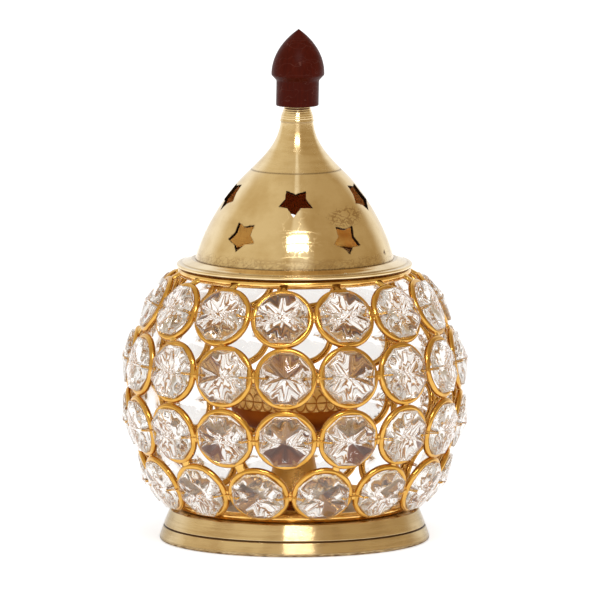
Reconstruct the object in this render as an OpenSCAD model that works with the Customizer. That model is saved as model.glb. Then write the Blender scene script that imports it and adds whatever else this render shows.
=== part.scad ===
// Akhand diya: an oil lamp on a turned brass base, inside a cage of crystal beads wired to brass rings,
// under a star-pierced brass dome with a turned knob. Millimetres, +Z up, origin under the base's centre.

/* [Base] */
// Height of the base up to the ledge that carries the cage
base_h = 8.5; // [6:0.5:14]
// Width of the ledge that shows outside the cage's bottom hoop
ledge_w = 2.5; // [1:0.1:6]
// How much wider the foot is than the ledge, on the radius
base_flare = 2.9; // [0.5:0.1:6]
// Swell of the sloping side beyond a straight taper
base_swell = 0.35; // [0:0.05:1]
// Wall of the base
base_wall = 2.2; // [1.4:0.1:2.6]
// Radius of the rounded lower edge
foot_round = 0.8; // [0.3:0.1:1.5]
// Height of the turned groove above the table
groove_z = 4; // [2:0.1:5]
// Depth of the turned grooves
groove_depth = 0.35; // [0.1:0.05:0.6]
// Width of the turned grooves
groove_w = 0.55; // [0.3:0.05:1]
// Height of the register ring that centres the bottom hoop
register_h = 1.2; // [0.5:0.1:2]
// Wall of the register ring
register_wall = 1.6; // [1:0.1:3]

/* [Cage] */
// Beads in each row, from the top row down
row_count = [14, 16, 16, 14]; // [10:2:20]
// Space between neighbouring rings of a row
side_gap = [0.25, 0.5, 0.46, 0.5]; // [0.1:0.01:1.5]
// Lean of each row's rings, positive where they face upwards
row_tilt = [28, 9, -12, -27]; // [-40:1:40]
// Turn of each row, measured from the front
row_phase = [-5, -3.1, -3.1, 11.2]; // [-15:0.1:15]
// Space between one row's lower wire and the next row's upper wire, from the top row down
row_gap = [0.23, 0.46, 0.05]; // [0.05:0.01:1.5]
// Outer diameter of a bead ring
ring_od = 16.5; // [14.6:0.1:20]
// Wire of the bead rings
ring_wire = 1.5; // [0.8:0.1:1.8]
// Radius of the top hoop's wire centre
top_hoop_r = 30.5; // [27:0.1:33]
// Radius of the bottom hoop's wire centre
bottom_hoop_r = 30.4; // [27:0.1:33]
// Wire of both hoops
hoop_wire = 2; // [1.4:0.1:2.6]
// Reach from the top row's highest wire to the top hoop's wire, middle to middle
top_reach = 4.19; // [3.8:0.01:6]
// Reach from the bottom hoop's wire to the bottom row's lowest wire, middle to middle
bottom_reach = 4.56; // [4.2:0.01:6]
// Diameter of the soldered bridges between the rows and hoops
bridge_d = 1.6; // [1:0.1:2]
// Diameter of the solder joints between neighbouring rings
solder_d = 1.25; // [0.9:0.05:1.3]
// Space left between solder and wire
solder_film = 0.03; // [0.02:0.01:0.08]

/* [Crystal beads] */
// Octagon bead, across flats
bead_af = 14; // [12:0.1:15]
// Bead from point to point
bead_t = 4.8; // [3.6:0.1:8]
// Thickness of the bead's edge
bead_edge = 0.9; // [0.5:0.1:2]
// Share of the half width at which the side facets start
bead_facet = 0.8; // [0.6:0.01:0.9]
// Drilled holes, to each side of the bead's middle
hole_offset = 5; // [4:0.1:5.4]
// Drilled hole
hole_d = 1.3; // [1.1:0.1:1.6]
// Space between a bead and the wire and solder behind it
bead_clear = 0.1; // [0.06:0.01:0.2]
// Binding wire that ties the beads to the rings
tie_wire = 0.4; // [0.3:0.05:0.5]
// Space round the binding wire
tie_clear = 0.12; // [0.08:0.01:0.3]
// Knuckle where the binding wire is folded
tie_knuckle = 0.46; // [0.44:0.01:0.6]

/* [Lid] */
// How far the rim stands out past the top hoop
rim_overhang = 0.6; // [0.2:0.1:2]
// Thickness of the rim's lower lip
rim_lip = 1.1; // [0.6:0.1:2]
// Height of the whole rim above the hoop
rim_h = 2.3; // [1.8:0.1:4]
// Depth of the skirt that centres the lid in the top hoop
skirt_h = 2.2; // [1:0.1:4]
// Radius of the dome where it meets the rim
dome_foot_r = 27; // [25:0.1:28]
// Dome from its foot to the seam below the neck
dome_h = 24.4; // [20:0.1:32]
// Radius of the dome at the seam
seam_r = 12.2; // [10:0.1:15]
// Wall of the dome
dome_wall = 1.1; // [0.8:0.1:1.6]
// Neck from the seam to the collar
neck_h = 13.1; // [11:0.1:18]
// Radius of the neck under the collar
neck_r = 4.45; // [4.2:0.05:6]
// Height of the turned collar under the knob
collar_h = 4.2; // [3:0.1:7]
// Radius of the collar's top
collar_r = 3.4; // [3:0.1:4.4]
// Stars in each of the two rows
star_count = 5; // [3:1:6]
// Height of the lower row of stars above the dome's foot
star_low_z = 8; // [7:0.1:9.5]
// Height of the upper row of stars above the dome's foot
star_high_z = 17.7; // [16.5:0.1:18.5]
// Star from its middle to a point
star_r = 4.8; // [3:0.1:5.2]
// Share of that at the star's inner corners
star_inner = 0.58; // [0.4:0.01:0.7]

/* [Knob] */
// Radius of the knob's shank
knob_shank_r = 5.8; // [4:0.1:8]
// Height of the shank
knob_shank_h = 6.9; // [4:0.1:10]
// Widest radius of the knob
knob_r = 7.2; // [6:0.1:10]
// Height of the bevel under the widest part
knob_bevel_h = 1.5; // [0.5:0.1:3]
// Pointed top above the widest part
knob_point_h = 12.5; // [9:0.1:18]
// Screw that holds the knob
screw_d = 3; // [2:0.1:3.4]
// Screw head diameter
screw_head_d = 5.4; // [4.4:0.1:5.6]
// Screw head height
screw_head_h = 2; // [1.2:0.1:2.6]
// Depth of the screw in the knob
screw_grip = 9; // [6:0.5:12]
// Thickness of the knob's washer
knob_washer_t = 0.6; // [0.4:0.1:1]
// Diameter of the knob's washer
knob_washer_d = 6.2; // [5.8:0.1:6.4]

/* [Bowl and pedestal] */
// Height of the bowl's rim above the ledge
bowl_rim_z = 35.3; // [32:0.1:42]
// Radius of the bowl's rim
bowl_r = 17.6; // [15:0.1:22]
// Height of the upright band below the rim
bowl_band_h = 7; // [5:0.1:9]
// Bowl from its rim down to the collar that it stands on
bowl_depth = 14.8; // [13.5:0.1:19]
// Wall of the bowl
bowl_wall = 1.4; // [1:0.1:2]
// Radius of the bowl's flat floor
bowl_floor_r = 9; // [8.5:0.1:11]
// Thickness of the bowl's floor
bowl_floor_t = 2.5; // [1.5:0.1:4]
// Turned groove above the lower edge of the band
bowl_groove = 2.5; // [1:0.1:4]
// Radius of the collar under the bowl
bowl_collar_r = 5.6; // [5:0.1:8]
// Spigot of the bowl, in the pedestal
spigot_d = 6; // [4:0.1:7]
// Length of the spigot
spigot_h = 6; // [3:0.5:9]
// Waist radius of the pedestal
waist_r = 4.9; // [4.6:0.1:6]
// Foot radius of the pedestal
pedestal_foot_r = 14.5; // [10:0.5:20]
// Threaded end of the pedestal, under the base
stud_d = 5; // [4:0.5:6]
// Nut across flats
nut_af = 8; // [7:0.5:11]
// Height of the nut
nut_h = 3.4; // [2:0.1:3.6]
// Washer under the base
washer_d = 11; // [9:0.5:14]
// Thickness of that washer
washer_t = 1; // [0.6:0.1:1.2]

/* [Wick] */
// Disc of the wick holder
holder_disc_d = 15; // [12:0.5:16.5]
// Thickness of that disc
holder_disc_t = 1; // [0.6:0.1:1.6]
// Height of the wick tube above the bowl's floor
tube_h = 12; // [8:0.5:14]
// Wall of the wick tube
tube_wall = 0.7; // [0.5:0.1:1.2]
// Oil holes in the disc
oil_hole_d = 2.4; // [1.5:0.1:3]
// Thickness of the cotton wick
wick_d = 3.2; // [2:0.1:4]
// Wick above its tube
wick_proud = 4.5; // [2:0.5:6]

/* [Fits] */
// Running space between pieces that lift apart
lift_clear = 0.3; // [0.2:0.05:0.6]
// Space under a piece that rests on another
seat_clear = 0.04; // [0.02:0.01:0.1]
// Space round fixed screws, studs and spigots
bore_clear = 0.1; // [0.05:0.01:0.3]

/* [Hidden] */
$fn = 48;
fine_fn = 96;
brass = [0.76, 0.63, 0.39];
gold_wire = [0.86, 0.62, 0.22];
steel = [0.7, 0.7, 0.72];
crystal = [0.93, 0.92, 0.9, 0.6];
knob_red = [0.29, 0.08, 0.06];
cotton = [0.95, 0.93, 0.87];
curve_steps = 18;
nut_sides = 6;
side_count = 8;
half_side = 180 / side_count;
cut_margin = 1;

// Radii of the ring and hoop wires, and the rows' places, stacked from the bottom hoop upwards
ring_r = (ring_od - ring_wire) / 2;
wire_r = ring_wire / 2;
last_row = len(row_count) - 1;
hoop_z = base_h + hoop_wire / 2 + seat_clear;
function row_r(row) = (ring_od + side_gap[row]) / (2 * sin(180 / row_count[row]));
function low_r(row) = row_r(row) + ring_r * sin(row_tilt[row]);
function high_r(row) = row_r(row) - ring_r * sin(row_tilt[row]);
function rise(reach, across) = sqrt(max(reach * reach - across * across, 0));
function step_z(row) = rise(ring_wire + row_gap[row], high_r(row + 1) - low_r(row));
function row_z(row) =
  row == last_row
    ? hoop_z + rise(bottom_reach, low_r(last_row) - bottom_hoop_r) + ring_r * cos(row_tilt[last_row])
    : row_z(row + 1) + ring_r * (cos(row_tilt[row + 1]) + cos(row_tilt[row])) + step_z(row);
top_hoop_z = row_z(0) + ring_r * cos(row_tilt[0]) + rise(top_reach, high_r(0) - top_hoop_r);

// Base, from the hoop that it carries
ledge_r = bottom_hoop_r + hoop_wire / 2 + ledge_w;
foot_r = ledge_r + base_flare;
register_r = bottom_hoop_r - hoop_wire / 2 - lift_clear;
ceiling_z = base_h - base_wall;
stud_hole_r = stud_d / 2 + 2 * bore_clear;

// Bowl, pedestal and wick
rim_z = base_h + bowl_rim_z;
collar_z = rim_z - bowl_depth;
band_z = rim_z - bowl_band_h;
floor_z = collar_z + bowl_floor_t;
holder_z = floor_z + seat_clear;
tube_r = wick_d / 2 + bore_clear + tube_wall;
oil_hole_r = (holder_disc_d / 2 + tube_r) / 2;
stud_proud = 0.6;
stud_end_z = ceiling_z - washer_t - nut_h - 3 * seat_clear - stud_proud;

// Lid, from the hoop that carries it
lid_z = top_hoop_z + hoop_wire / 2 + seat_clear;
rim_r = top_hoop_r + hoop_wire / 2 + rim_overhang;
skirt_r = top_hoop_r - hoop_wire / 2 - lift_clear;
foot_z = lid_z + rim_h;
seam_z = foot_z + dome_h;
collar_base_z = seam_z + neck_h;
neck_top_z = collar_base_z + collar_h;
bore_r = neck_r - dome_wall;
sleeve_h = 2;
knob_z = neck_top_z + seat_clear;

// Bead: corner radius, facet corners and how far it stands out from its ring
bead_r = bead_af / 2 / cos(half_side);
bead_half = bead_t / 2;
edge_half = bead_edge / 2;
facet_r = bead_af / 2 * bead_facet;
facet_z = bead_half - (bead_half - edge_half) * facet_r * cos(half_side) / bead_r;
ring_crown = sqrt(max(wire_r * wire_r - pow(max(ring_r - bead_r, 0), 2), 0));
bead_out = max(ring_crown, bridge_d / 2) + edge_half + bead_clear;
hole_half = bead_half - (bead_half - facet_z) * hole_offset / facet_r;

// Points of a cubic curve through four control points
function curve(a, b, c, d) = [
  for (i = [0:curve_steps])
    let (t = i / curve_steps, s = 1 - t)
    a * s * s * s + b * 3 * s * s * t + c * 3 * s * t * t + d * t * t * t
];
// Radius and slope of a turned side at a height, along the curve's straight steps
function side_at(side, z) =
  let (i = max([for (j = [0:curve_steps - 1]) if (side[j].y <= z) j]), a = side[i], b = side[i + 1])
  [a.x + (b.x - a.x) * (z - a.y) / (b.y - a.y), atan2(a.x - b.x, b.y - a.y)];
function reversed(points) = [for (i = [len(points) - 1:-1:0]) points[i]];
function unit(v) = v / norm(v);

// From a ring's own frame, with its axis along Z, to the lamp's frame and back
function lean(p, a) = [p.x, p.y * cos(a) - p.z * sin(a), p.y * sin(a) + p.z * cos(a)];
function turn(p, a) = [p.x * cos(a) - p.y * sin(a), p.x * sin(a) + p.y * cos(a), p.z];
function ring_angle(row, k) = row_phase[row] + 360 * k / row_count[row];
function ring_place(row) = [0, -row_r(row), row_z(row)];
function ring_point(row, k, p) = turn(lean(p, 90 - row_tilt[row]) + ring_place(row), ring_angle(row, k));
function ring_local(row, k, p) = lean(turn(p, -ring_angle(row, k)) - ring_place(row), row_tilt[row] - 90);
function ring_centre(row, k) = ring_point(row, k, [0, 0, 0]);
function ring_axis(row, k) = ring_point(row, k, [0, 0, 1]) - ring_centre(row, k);

// The point of a ring's wire that lies towards a target
function wire_towards(row, k, target) =
  let (p = ring_local(row, k, target), u = unit([p.x, p.y, 0]))
  ring_point(row, k, u * ring_r);
function hoop_towards(r, z, target) = unit([target.x, target.y, 0]) * r + [0, 0, z];
function nearest(row, k, other) = round((ring_angle(row, k) - row_phase[other]) * row_count[other] / 360);

module on_ring(row, k) {
  rotate([0, 0, ring_angle(row, k)])
    translate(ring_place(row))
      rotate([90 - row_tilt[row], 0, 0])
        children();
}

module ring_body(extra = 0) {
  rotate_extrude()
    translate([ring_r, 0])
      circle(r = wire_r + extra);
}

module hoop_body(r, z, extra = 0) {
  translate([0, 0, z])
    rotate_extrude()
      translate([r, 0])
        circle(r = hoop_wire / 2 + extra);
}

module rod(a, b, d) {
  v = b - a;
  translate(a)
    rotate([0, acos(v.z / norm(v)), atan2(v.y, v.x)])
      cylinder(h = norm(v), d = d);
}

module turned(points) {
  rotate_extrude()
    polygon(points);
}

module groove(r, z) {
  translate([0, 0, z - groove_w / 2])
    rotate_extrude()
      translate([r - groove_depth, 0])
        square([groove_depth + cut_margin, groove_w]);
}

module upright(d, z0, z1) {
  translate([0, 0, z0])
    cylinder(h = z1 - z0, d = d);
}

// Base: a turned dish with a sloping side, hollow underneath
base_side = curve(
  [foot_r, foot_round],
  [foot_r - base_flare / 3 + base_swell, foot_round + (base_h - foot_round) / 3],
  [foot_r - base_flare * 2 / 3 + base_swell, foot_round + (base_h - foot_round) * 2 / 3],
  [ledge_r, base_h]
);

module base() {
  color(brass)
    difference() {
      turned(concat(
        [[0, ceiling_z], [ledge_r - base_wall, ceiling_z], [foot_r - base_wall - foot_round, 0]],
        [[foot_r - foot_round, 0]],
        base_side,
        [[register_r, base_h], [register_r, base_h + register_h]],
        [[register_r - register_wall, base_h + register_h], [register_r - register_wall, base_h]],
        [[0, base_h]]
      ));
      groove(side_at(base_side, groove_z)[0], groove_z);
      upright(2 * stud_hole_r, ceiling_z - cut_margin, base_h + cut_margin);
    }
}

// Pedestal: a trumpet foot eased into a waist, a collar with a socket for the bowl, and a threaded end
pedestal_z = base_h + seat_clear;
pedestal_edge = 1;
flare_share = 0.52;
flare_rise = 2.2;
waist_ease = 0.9;
waist_share = 0.45;
collar_edge = 1.2;
collar_slope = 0.8;
pedestal_side = curve(
  [pedestal_foot_r, pedestal_z + pedestal_edge],
  [pedestal_foot_r * flare_share, pedestal_z + flare_rise],
  [waist_r + waist_ease, pedestal_z + (collar_z - pedestal_z) * waist_share],
  [waist_r, collar_z - collar_edge - collar_slope]
);

module pedestal() {
  color(brass)
    difference() {
      turned(concat(
        [[0, stud_end_z], [stud_d / 2, stud_end_z]],
        [[stud_d / 2, pedestal_z], [pedestal_foot_r, pedestal_z]],
        pedestal_side,
        [[bowl_collar_r, collar_z - collar_edge], [bowl_collar_r, collar_z], [0, collar_z]]
      ));
      upright(spigot_d + 2 * bore_clear, collar_z - spigot_h - seat_clear, collar_z + cut_margin);
    }
}

module pedestal_washer() {
  top = ceiling_z - seat_clear;
  color(brass)
    difference() {
      upright(washer_d, top - washer_t, top);
      upright(2 * stud_hole_r, top - washer_t - cut_margin, top + cut_margin);
    }
}

module pedestal_nut() {
  top = ceiling_z - washer_t - 2 * seat_clear;
  color(brass)
    difference() {
      translate([0, 0, top - nut_h])
        cylinder(h = nut_h, d = nut_af / cos(180 / nut_sides), $fn = nut_sides);
      upright(stud_d + 2 * bore_clear, top - nut_h - cut_margin, top + cut_margin);
    }
}

// Oil bowl: an upright band over a rounded bottom, with a spigot below
bowl_neck_h = 1.5;
bowl_neck_z = collar_z + bowl_neck_h;
bowl_flare = 4;
bowl_flare_rise = 0.3;
belly_in = 0.8;
belly_rise = 2;
band_taper = 0.3;
bowl_rim_bevel = 0.5;
inner_flare = 3.5;
inner_flare_rise = 0.2;
inner_belly_in = 0.6;
inner_belly_rise = 2.5;
inner_lift = 1;
bowl_inner_r = bowl_r - bowl_wall;
bowl_side = curve(
  [bowl_collar_r, bowl_neck_z],
  [bowl_collar_r + bowl_flare, bowl_neck_z + bowl_flare_rise],
  [bowl_r - belly_in, bowl_neck_z + belly_rise],
  [bowl_r - band_taper, band_z]
);
bowl_inside = curve(
  [bowl_floor_r, floor_z],
  [bowl_floor_r + inner_flare, floor_z + inner_flare_rise],
  [bowl_inner_r - inner_belly_in, floor_z + inner_belly_rise],
  [bowl_inner_r - band_taper, band_z + inner_lift]
);

module oil_bowl() {
  spigot_r = spigot_d / 2;
  base_z = collar_z + seat_clear;
  color(brass)
    difference() {
      turned(concat(
        [[0, base_z - spigot_h], [spigot_r, base_z - spigot_h]],
        [[spigot_r, base_z], [bowl_collar_r, base_z]],
        bowl_side,
        [[bowl_r, rim_z - bowl_rim_bevel], [bowl_r - bowl_rim_bevel, rim_z], [bowl_inner_r, rim_z]],
        reversed(bowl_inside),
        [[0, floor_z]]
      ));
      groove(bowl_r - band_taper * (1 - bowl_groove / bowl_band_h), band_z + bowl_groove);
    }
}

// Wick holder: a pierced disc with an open tube
oil_hole_count = 4;

module wick_holder() {
  wick_hole = wick_d + 2 * bore_clear;
  color(brass)
    difference() {
      union() {
        upright(holder_disc_d, holder_z, holder_z + holder_disc_t);
        upright(2 * tube_r, holder_z, floor_z + tube_h);
      }
      upright(wick_hole, holder_z - cut_margin, floor_z + tube_h + cut_margin);
      for (i = [0:oil_hole_count - 1])
        rotate([0, 0, (2 * i + 1) * 180 / oil_hole_count])
          translate([oil_hole_r, 0, 0])
            upright(oil_hole_d, holder_z - cut_margin, holder_z + holder_disc_t + cut_margin);
    }
}

// Shares of the wick's thickness in its drawn-in tip
wick_shoulder = 0.6;
wick_tip_r = 0.36;
wick_tip_h = 0.2;

module cotton_wick() {
  tip_z = floor_z + tube_h + wick_proud;
  color(cotton)
    turned([
      [0, holder_z], [wick_d / 2, holder_z], [wick_d / 2, tip_z - wick_d * wick_shoulder],
      [wick_d * wick_tip_r, tip_z - wick_d * wick_tip_h], [0, tip_z]
    ]);
}

// Cage: two hoops, four rows of rings and the solder that joins them
module bottom_hoop() {
  color(gold_wire)
    hoop_body(bottom_hoop_r, hoop_z);
}

module top_hoop() {
  color(gold_wire)
    hoop_body(top_hoop_r, top_hoop_z);
}

module wire_rings(row) {
  color(gold_wire)
    for (k = [0:row_count[row] - 1])
      on_ring(row, k)
        ring_body();
}

module hoop_bridges(row, r, z) {
  $fn = fine_fn;
  color(gold_wire)
    for (k = [0:row_count[row] - 1]) {
      inner = hoop_towards(r, z, ring_centre(row, k));
      difference() {
        rod(wire_towards(row, k, inner), inner, bridge_d);
        on_ring(row, k)
          ring_body(solder_film);
        hoop_body(r, z, solder_film);
      }
    }
}

module row_bridges(lower, upper) {
  $fn = fine_fn;
  color(gold_wire)
    for (k = [0:row_count[lower] - 1]) {
      other = nearest(lower, k, upper);
      end = wire_towards(upper, other, ring_centre(lower, k));
      start = wire_towards(lower, k, end);
      difference() {
        rod(start, wire_towards(upper, other, start), bridge_d);
        on_ring(lower, k)
          ring_body(solder_film);
        on_ring(upper, other)
          ring_body(solder_film);
      }
    }
}

function side_end(row, k, next) = wire_towards(row, k, ring_centre(row, next));
function side_joint(row, k) = (side_end(row, k, k + 1) + side_end(row, k + 1, k)) / 2;

module solder(row) {
  $fn = fine_fn;
  color(gold_wire)
    for (k = [0:row_count[row] - 1])
      difference() {
        rod(side_end(row, k, k + 1), side_end(row, k + 1, k), solder_d);
        on_ring(row, k)
          ring_body(solder_film);
        on_ring(row, k + 1)
          ring_body(solder_film);
      }
}

// Bead: front and back points, eight facet corners and eight edge corners a side
function bead_ring(r, z, first) = [
  for (i = [0:side_count - 1])
    [r * cos(first + i * 2 * half_side), r * sin(first + i * 2 * half_side), z]
];
bead_points = concat(
  bead_ring(facet_r, facet_z, 0), bead_ring(bead_r, edge_half, half_side),
  bead_ring(bead_r, -edge_half, half_side), bead_ring(facet_r, -facet_z, 0),
  [[0, 0, bead_half], [0, 0, -bead_half]]
);
bead_faces = [
  for (i = [0:side_count - 1])
    let (
      n = (i + 1) % side_count, facet = i, corner = i + side_count,
      low = i + 2 * side_count, back = i + 3 * side_count,
      facet_n = n, corner_n = n + side_count, low_n = n + 2 * side_count, back_n = n + 3 * side_count,
      front_point = 4 * side_count, back_point = 4 * side_count + 1
    )
    each [
      [front_point, facet_n, corner, facet], [facet_n, corner_n, corner],
      [corner, corner_n, low_n, low], [back_n, low, low_n], [back_point, back, low, back_n]
    ]
];

module bead() {
  difference() {
    polyhedron(bead_points, bead_faces);
    for (side = [-1, 1])
      translate([side * hole_offset, 0, -bead_half])
        cylinder(h = bead_t, d = hole_d);
  }
}

module crystals(row) {
  color(crystal)
    for (k = [0:row_count[row] - 1])
      on_ring(row, k)
        translate([0, 0, bead_out])
          bead();
}

// Binding wire: a flat loop through the facing holes of two beads, round the solder between their rings
module tie_loop(w, front, back) {
  corners = [[-w / 2, back, 0], [w / 2, back, 0], [w / 2, front, 0], [-w / 2, front, 0]];
  for (i = [0:3]) {
    rod(corners[i], corners[(i + 1) % 4], tie_wire);
    translate(corners[i])
      sphere(d = tie_knuckle);
  }
}

module binding_wires(row) {
  color(gold_wire)
    for (k = [0:row_count[row] - 1]) {
      left = ring_point(row, k, [hole_offset, 0, bead_out]);
      right = ring_point(row, k + 1, [-hole_offset, 0, bead_out]);
      middle = (left + right) / 2;
      u = unit(right - left);
      v = unit(ring_axis(row, k) + ring_axis(row, k + 1));
      n = cross(u, v);
      front = hole_half + tie_wire / 2 + tie_clear;
      joint_half = max(solder_d / 2, wire_r);
      back = (side_joint(row, k) - middle) * v - joint_half - tie_wire / 2 - tie_clear;
      multmatrix([
        [u.x, v.x, n.x, middle.x],
        [u.y, v.y, n.y, middle.y],
        [u.z, v.z, n.z, middle.z],
        [0, 0, 0, 1]
      ])
        tie_loop(norm(right - left), front, back);
    }
}

// Lid: a stepped rim with a skirt, the pierced dome and the neck
skirt_wall = 1.4;
rim_seat = 0.6;
rim_step = 0.9;
rim_round = 0.3;
lip_w = 1.1;
lip_slope = 0.2;
step_run = 1;
step_drop = 0.4;
seat_bevel = 0.8;

module dome_rim() {
  skirt_in = skirt_r - skirt_wall;
  seat_r = dome_foot_r - dome_wall - rim_seat;
  step_r = dome_foot_r + rim_step;
  lip_z = lid_z + rim_lip;
  color(brass)
    turned([
      [skirt_in, lid_z - skirt_h], [skirt_r, lid_z - skirt_h], [skirt_r, lid_z],
      [rim_r - rim_round, lid_z], [rim_r, lid_z + rim_round], [rim_r, lip_z - rim_round],
      [rim_r - rim_round, lip_z], [rim_r - rim_round - lip_w, lip_z + lip_slope],
      [step_r + step_run, foot_z - step_drop], [step_r, foot_z], [seat_r, foot_z],
      [seat_r, lid_z + seat_bevel], [skirt_in, lid_z]
    ]);
}

// Dome: from upright at its foot to a shoulder below the seam
dome_lean = 1.4;
dome_low = 0.27;
dome_shoulder = 6.8;
dome_high = 0.762;
dome_side = curve(
  [dome_foot_r, 0], [dome_foot_r - dome_lean, dome_h * dome_low],
  [seam_r + dome_shoulder, dome_h * dome_high], [seam_r, dome_h]
);

// Five-pointed star with one point down
star_points = 5;
star_cut = 10;
star_outline = [
  for (i = [0:2 * star_points - 1])
    let (r = i % 2 == 0 ? star_r : star_r * star_inner, a = i * 180 / star_points - 90)
    [r * cos(a), r * sin(a)]
];

module stars(z, first) {
  at = side_at(dome_side, z);
  for (i = [0:star_count - 1])
    rotate([0, 0, first + 360 * i / star_count])
      translate([0, -at[0], foot_z + seat_clear + z])
        rotate([90 - at[1], 0, 0])
          linear_extrude(height = star_cut, center = true)
            polygon(star_outline);
}

module dome_shell() {
  inner = [for (p = dome_side) p - [dome_wall, 0]];
  color(brass)
    difference() {
      translate([0, 0, foot_z + seat_clear])
        turned(concat(dome_side, reversed(inner)));
      stars(star_high_z, 0);
      stars(star_low_z, 180 / star_count);
    }
}

// Neck: a trumpet that sleeves into the dome, with a tapered collar on top
neck_flare = 4.2;
neck_low = 0.32;
neck_ease = 0.45;
neck_high = 0.58;
collar_bead = 0.15;
collar_bead_h = 0.3;
collar_waist = 0.1;
collar_share = 0.35;
least_step = 0.05;

module dome_neck() {
  bottom = seam_z + 2 * seat_clear;
  side = curve(
    [seam_r, bottom], [seam_r - neck_flare, bottom + neck_h * neck_low],
    [neck_r + neck_ease, bottom + neck_h * neck_high], [neck_r, collar_base_z]
  );
  inner = [for (p = side) if (p.x - dome_wall > bore_r + least_step) p - [dome_wall, 0]];
  sleeve_r = seam_r - dome_wall - bore_clear;
  color(brass)
    difference() {
      turned(concat(
        side,
        [[neck_r + collar_bead, collar_base_z + collar_bead_h]],
        [[neck_r - collar_waist, collar_base_z + collar_h * collar_share]],
        [[collar_r, neck_top_z], [0, neck_top_z], [0, collar_base_z], [bore_r, collar_base_z]],
        reversed(inner),
        [[sleeve_r - dome_wall, bottom], [sleeve_r - dome_wall, bottom - sleeve_h]],
        [[sleeve_r, bottom - sleeve_h], [sleeve_r, bottom]]
      ));
      upright(screw_d + 2 * bore_clear, collar_base_z - cut_margin, neck_top_z + cut_margin);
    }
}

// Knob: a shank, a bevel and a pointed top, drilled from below
shank_bevel = 0.5;
knob_swell = 0.1;
knob_low = 0.37;
knob_shoulder = 0.667;
knob_high = 0.728;
drill_extra = 0.5;

module knob() {
  bevel_z = knob_z + knob_shank_h;
  wide_z = bevel_z + knob_bevel_h;
  tip = curve(
    [knob_r, wide_z], [knob_r + knob_swell, wide_z + knob_point_h * knob_low],
    [knob_r * knob_shoulder, wide_z + knob_point_h * knob_high], [0, wide_z + knob_point_h]
  );
  color(knob_red)
    difference() {
      turned(concat(
        [[0, knob_z], [knob_shank_r - shank_bevel, knob_z]],
        [[knob_shank_r, knob_z + shank_bevel], [knob_shank_r, bevel_z]],
        tip
      ));
      upright(screw_d + 2 * bore_clear, knob_z - cut_margin, knob_z + screw_grip + drill_extra);
    }
}

module knob_washer() {
  top = collar_base_z - seat_clear;
  color(steel)
    difference() {
      upright(knob_washer_d, top - knob_washer_t, top);
      upright(screw_d + 2 * bore_clear, top - knob_washer_t - cut_margin, top + cut_margin);
    }
}

head_bevel = 0.8;
slot_w = 0.8;
slot_depth = 0.7;

module knob_screw() {
  head_r = screw_head_d / 2;
  head_z = collar_base_z - knob_washer_t - 2 * seat_clear;
  color(steel)
    difference() {
      union() {
        upright(screw_d, head_z - cut_margin, knob_z + screw_grip);
        turned([
          [0, head_z - screw_head_h], [head_r - head_bevel, head_z - screw_head_h],
          [head_r, head_z - screw_head_h + head_bevel], [head_r, head_z], [0, head_z]
        ]);
      }
      translate([-head_r, -slot_w / 2, head_z - screw_head_h - cut_margin])
        cube([screw_head_d, slot_w, cut_margin + slot_depth]);
    }
}

base();
pedestal();
pedestal_washer();
pedestal_nut();
oil_bowl();
wick_holder();
cotton_wick();
bottom_hoop();
hoop_bridges(last_row, bottom_hoop_r, hoop_z);  // bottom_hoop_bridges
top_hoop();
hoop_bridges(0, top_hoop_r, top_hoop_z);  // top_hoop_bridges
wire_rings(0);  // wire_rings_row_1
wire_rings(1);  // wire_rings_row_2
wire_rings(2);  // wire_rings_row_3
wire_rings(3);  // wire_rings_row_4
solder(0);  // solder_row_1
solder(1);  // solder_row_2
solder(2);  // solder_row_3
solder(3);  // solder_row_4
row_bridges(0, 1);  // row_bridges_upper
row_bridges(2, 1);  // row_bridges_middle
row_bridges(3, 2);  // row_bridges_lower
crystals(0);  // crystals_row_1
crystals(1);  // crystals_row_2
crystals(2);  // crystals_row_3
crystals(3);  // crystals_row_4
binding_wires(0);  // binding_wires_row_1
binding_wires(1);  // binding_wires_row_2
binding_wires(2);  // binding_wires_row_3
binding_wires(3);  // binding_wires_row_4
dome_rim();
dome_shell();
dome_neck();
knob();
knob_screw();
knob_washer();
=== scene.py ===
"""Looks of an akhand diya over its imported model: turned brass, gold wire, crystal beads, a lacquered knob.

Every surface is a numpy grid: a profile turned about the lamp's axis, a circle carried along a path, or one
shape copied to a row of places. Lengths are in millimetres, apart from those of the settings, the lights
and the camera, and become metres when a mesh is made.
"""

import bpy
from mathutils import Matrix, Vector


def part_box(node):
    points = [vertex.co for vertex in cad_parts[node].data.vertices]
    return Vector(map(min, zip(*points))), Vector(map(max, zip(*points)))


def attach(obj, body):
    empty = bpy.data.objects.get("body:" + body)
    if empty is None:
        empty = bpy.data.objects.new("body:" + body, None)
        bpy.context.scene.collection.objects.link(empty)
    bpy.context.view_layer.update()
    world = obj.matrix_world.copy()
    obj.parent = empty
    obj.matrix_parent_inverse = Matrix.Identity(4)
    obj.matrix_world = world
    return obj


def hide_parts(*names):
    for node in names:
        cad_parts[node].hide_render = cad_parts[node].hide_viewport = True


bl_info = {
    "name": "Akhand Diya",
    "version": (1, 0, 0),
    "blender": (4, 5, 0),
    "location": "View3D > Sidebar > Diya",
    "description": "Builds the looks of a brass and crystal oil lamp over its packed model",
    "category": "Object",
}

import math

import bmesh
import bpy
import numpy as np
from bpy.props import FloatProperty, FloatVectorProperty, IntProperty, PointerProperty
from bpy.types import Operator, Panel, PropertyGroup

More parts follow.
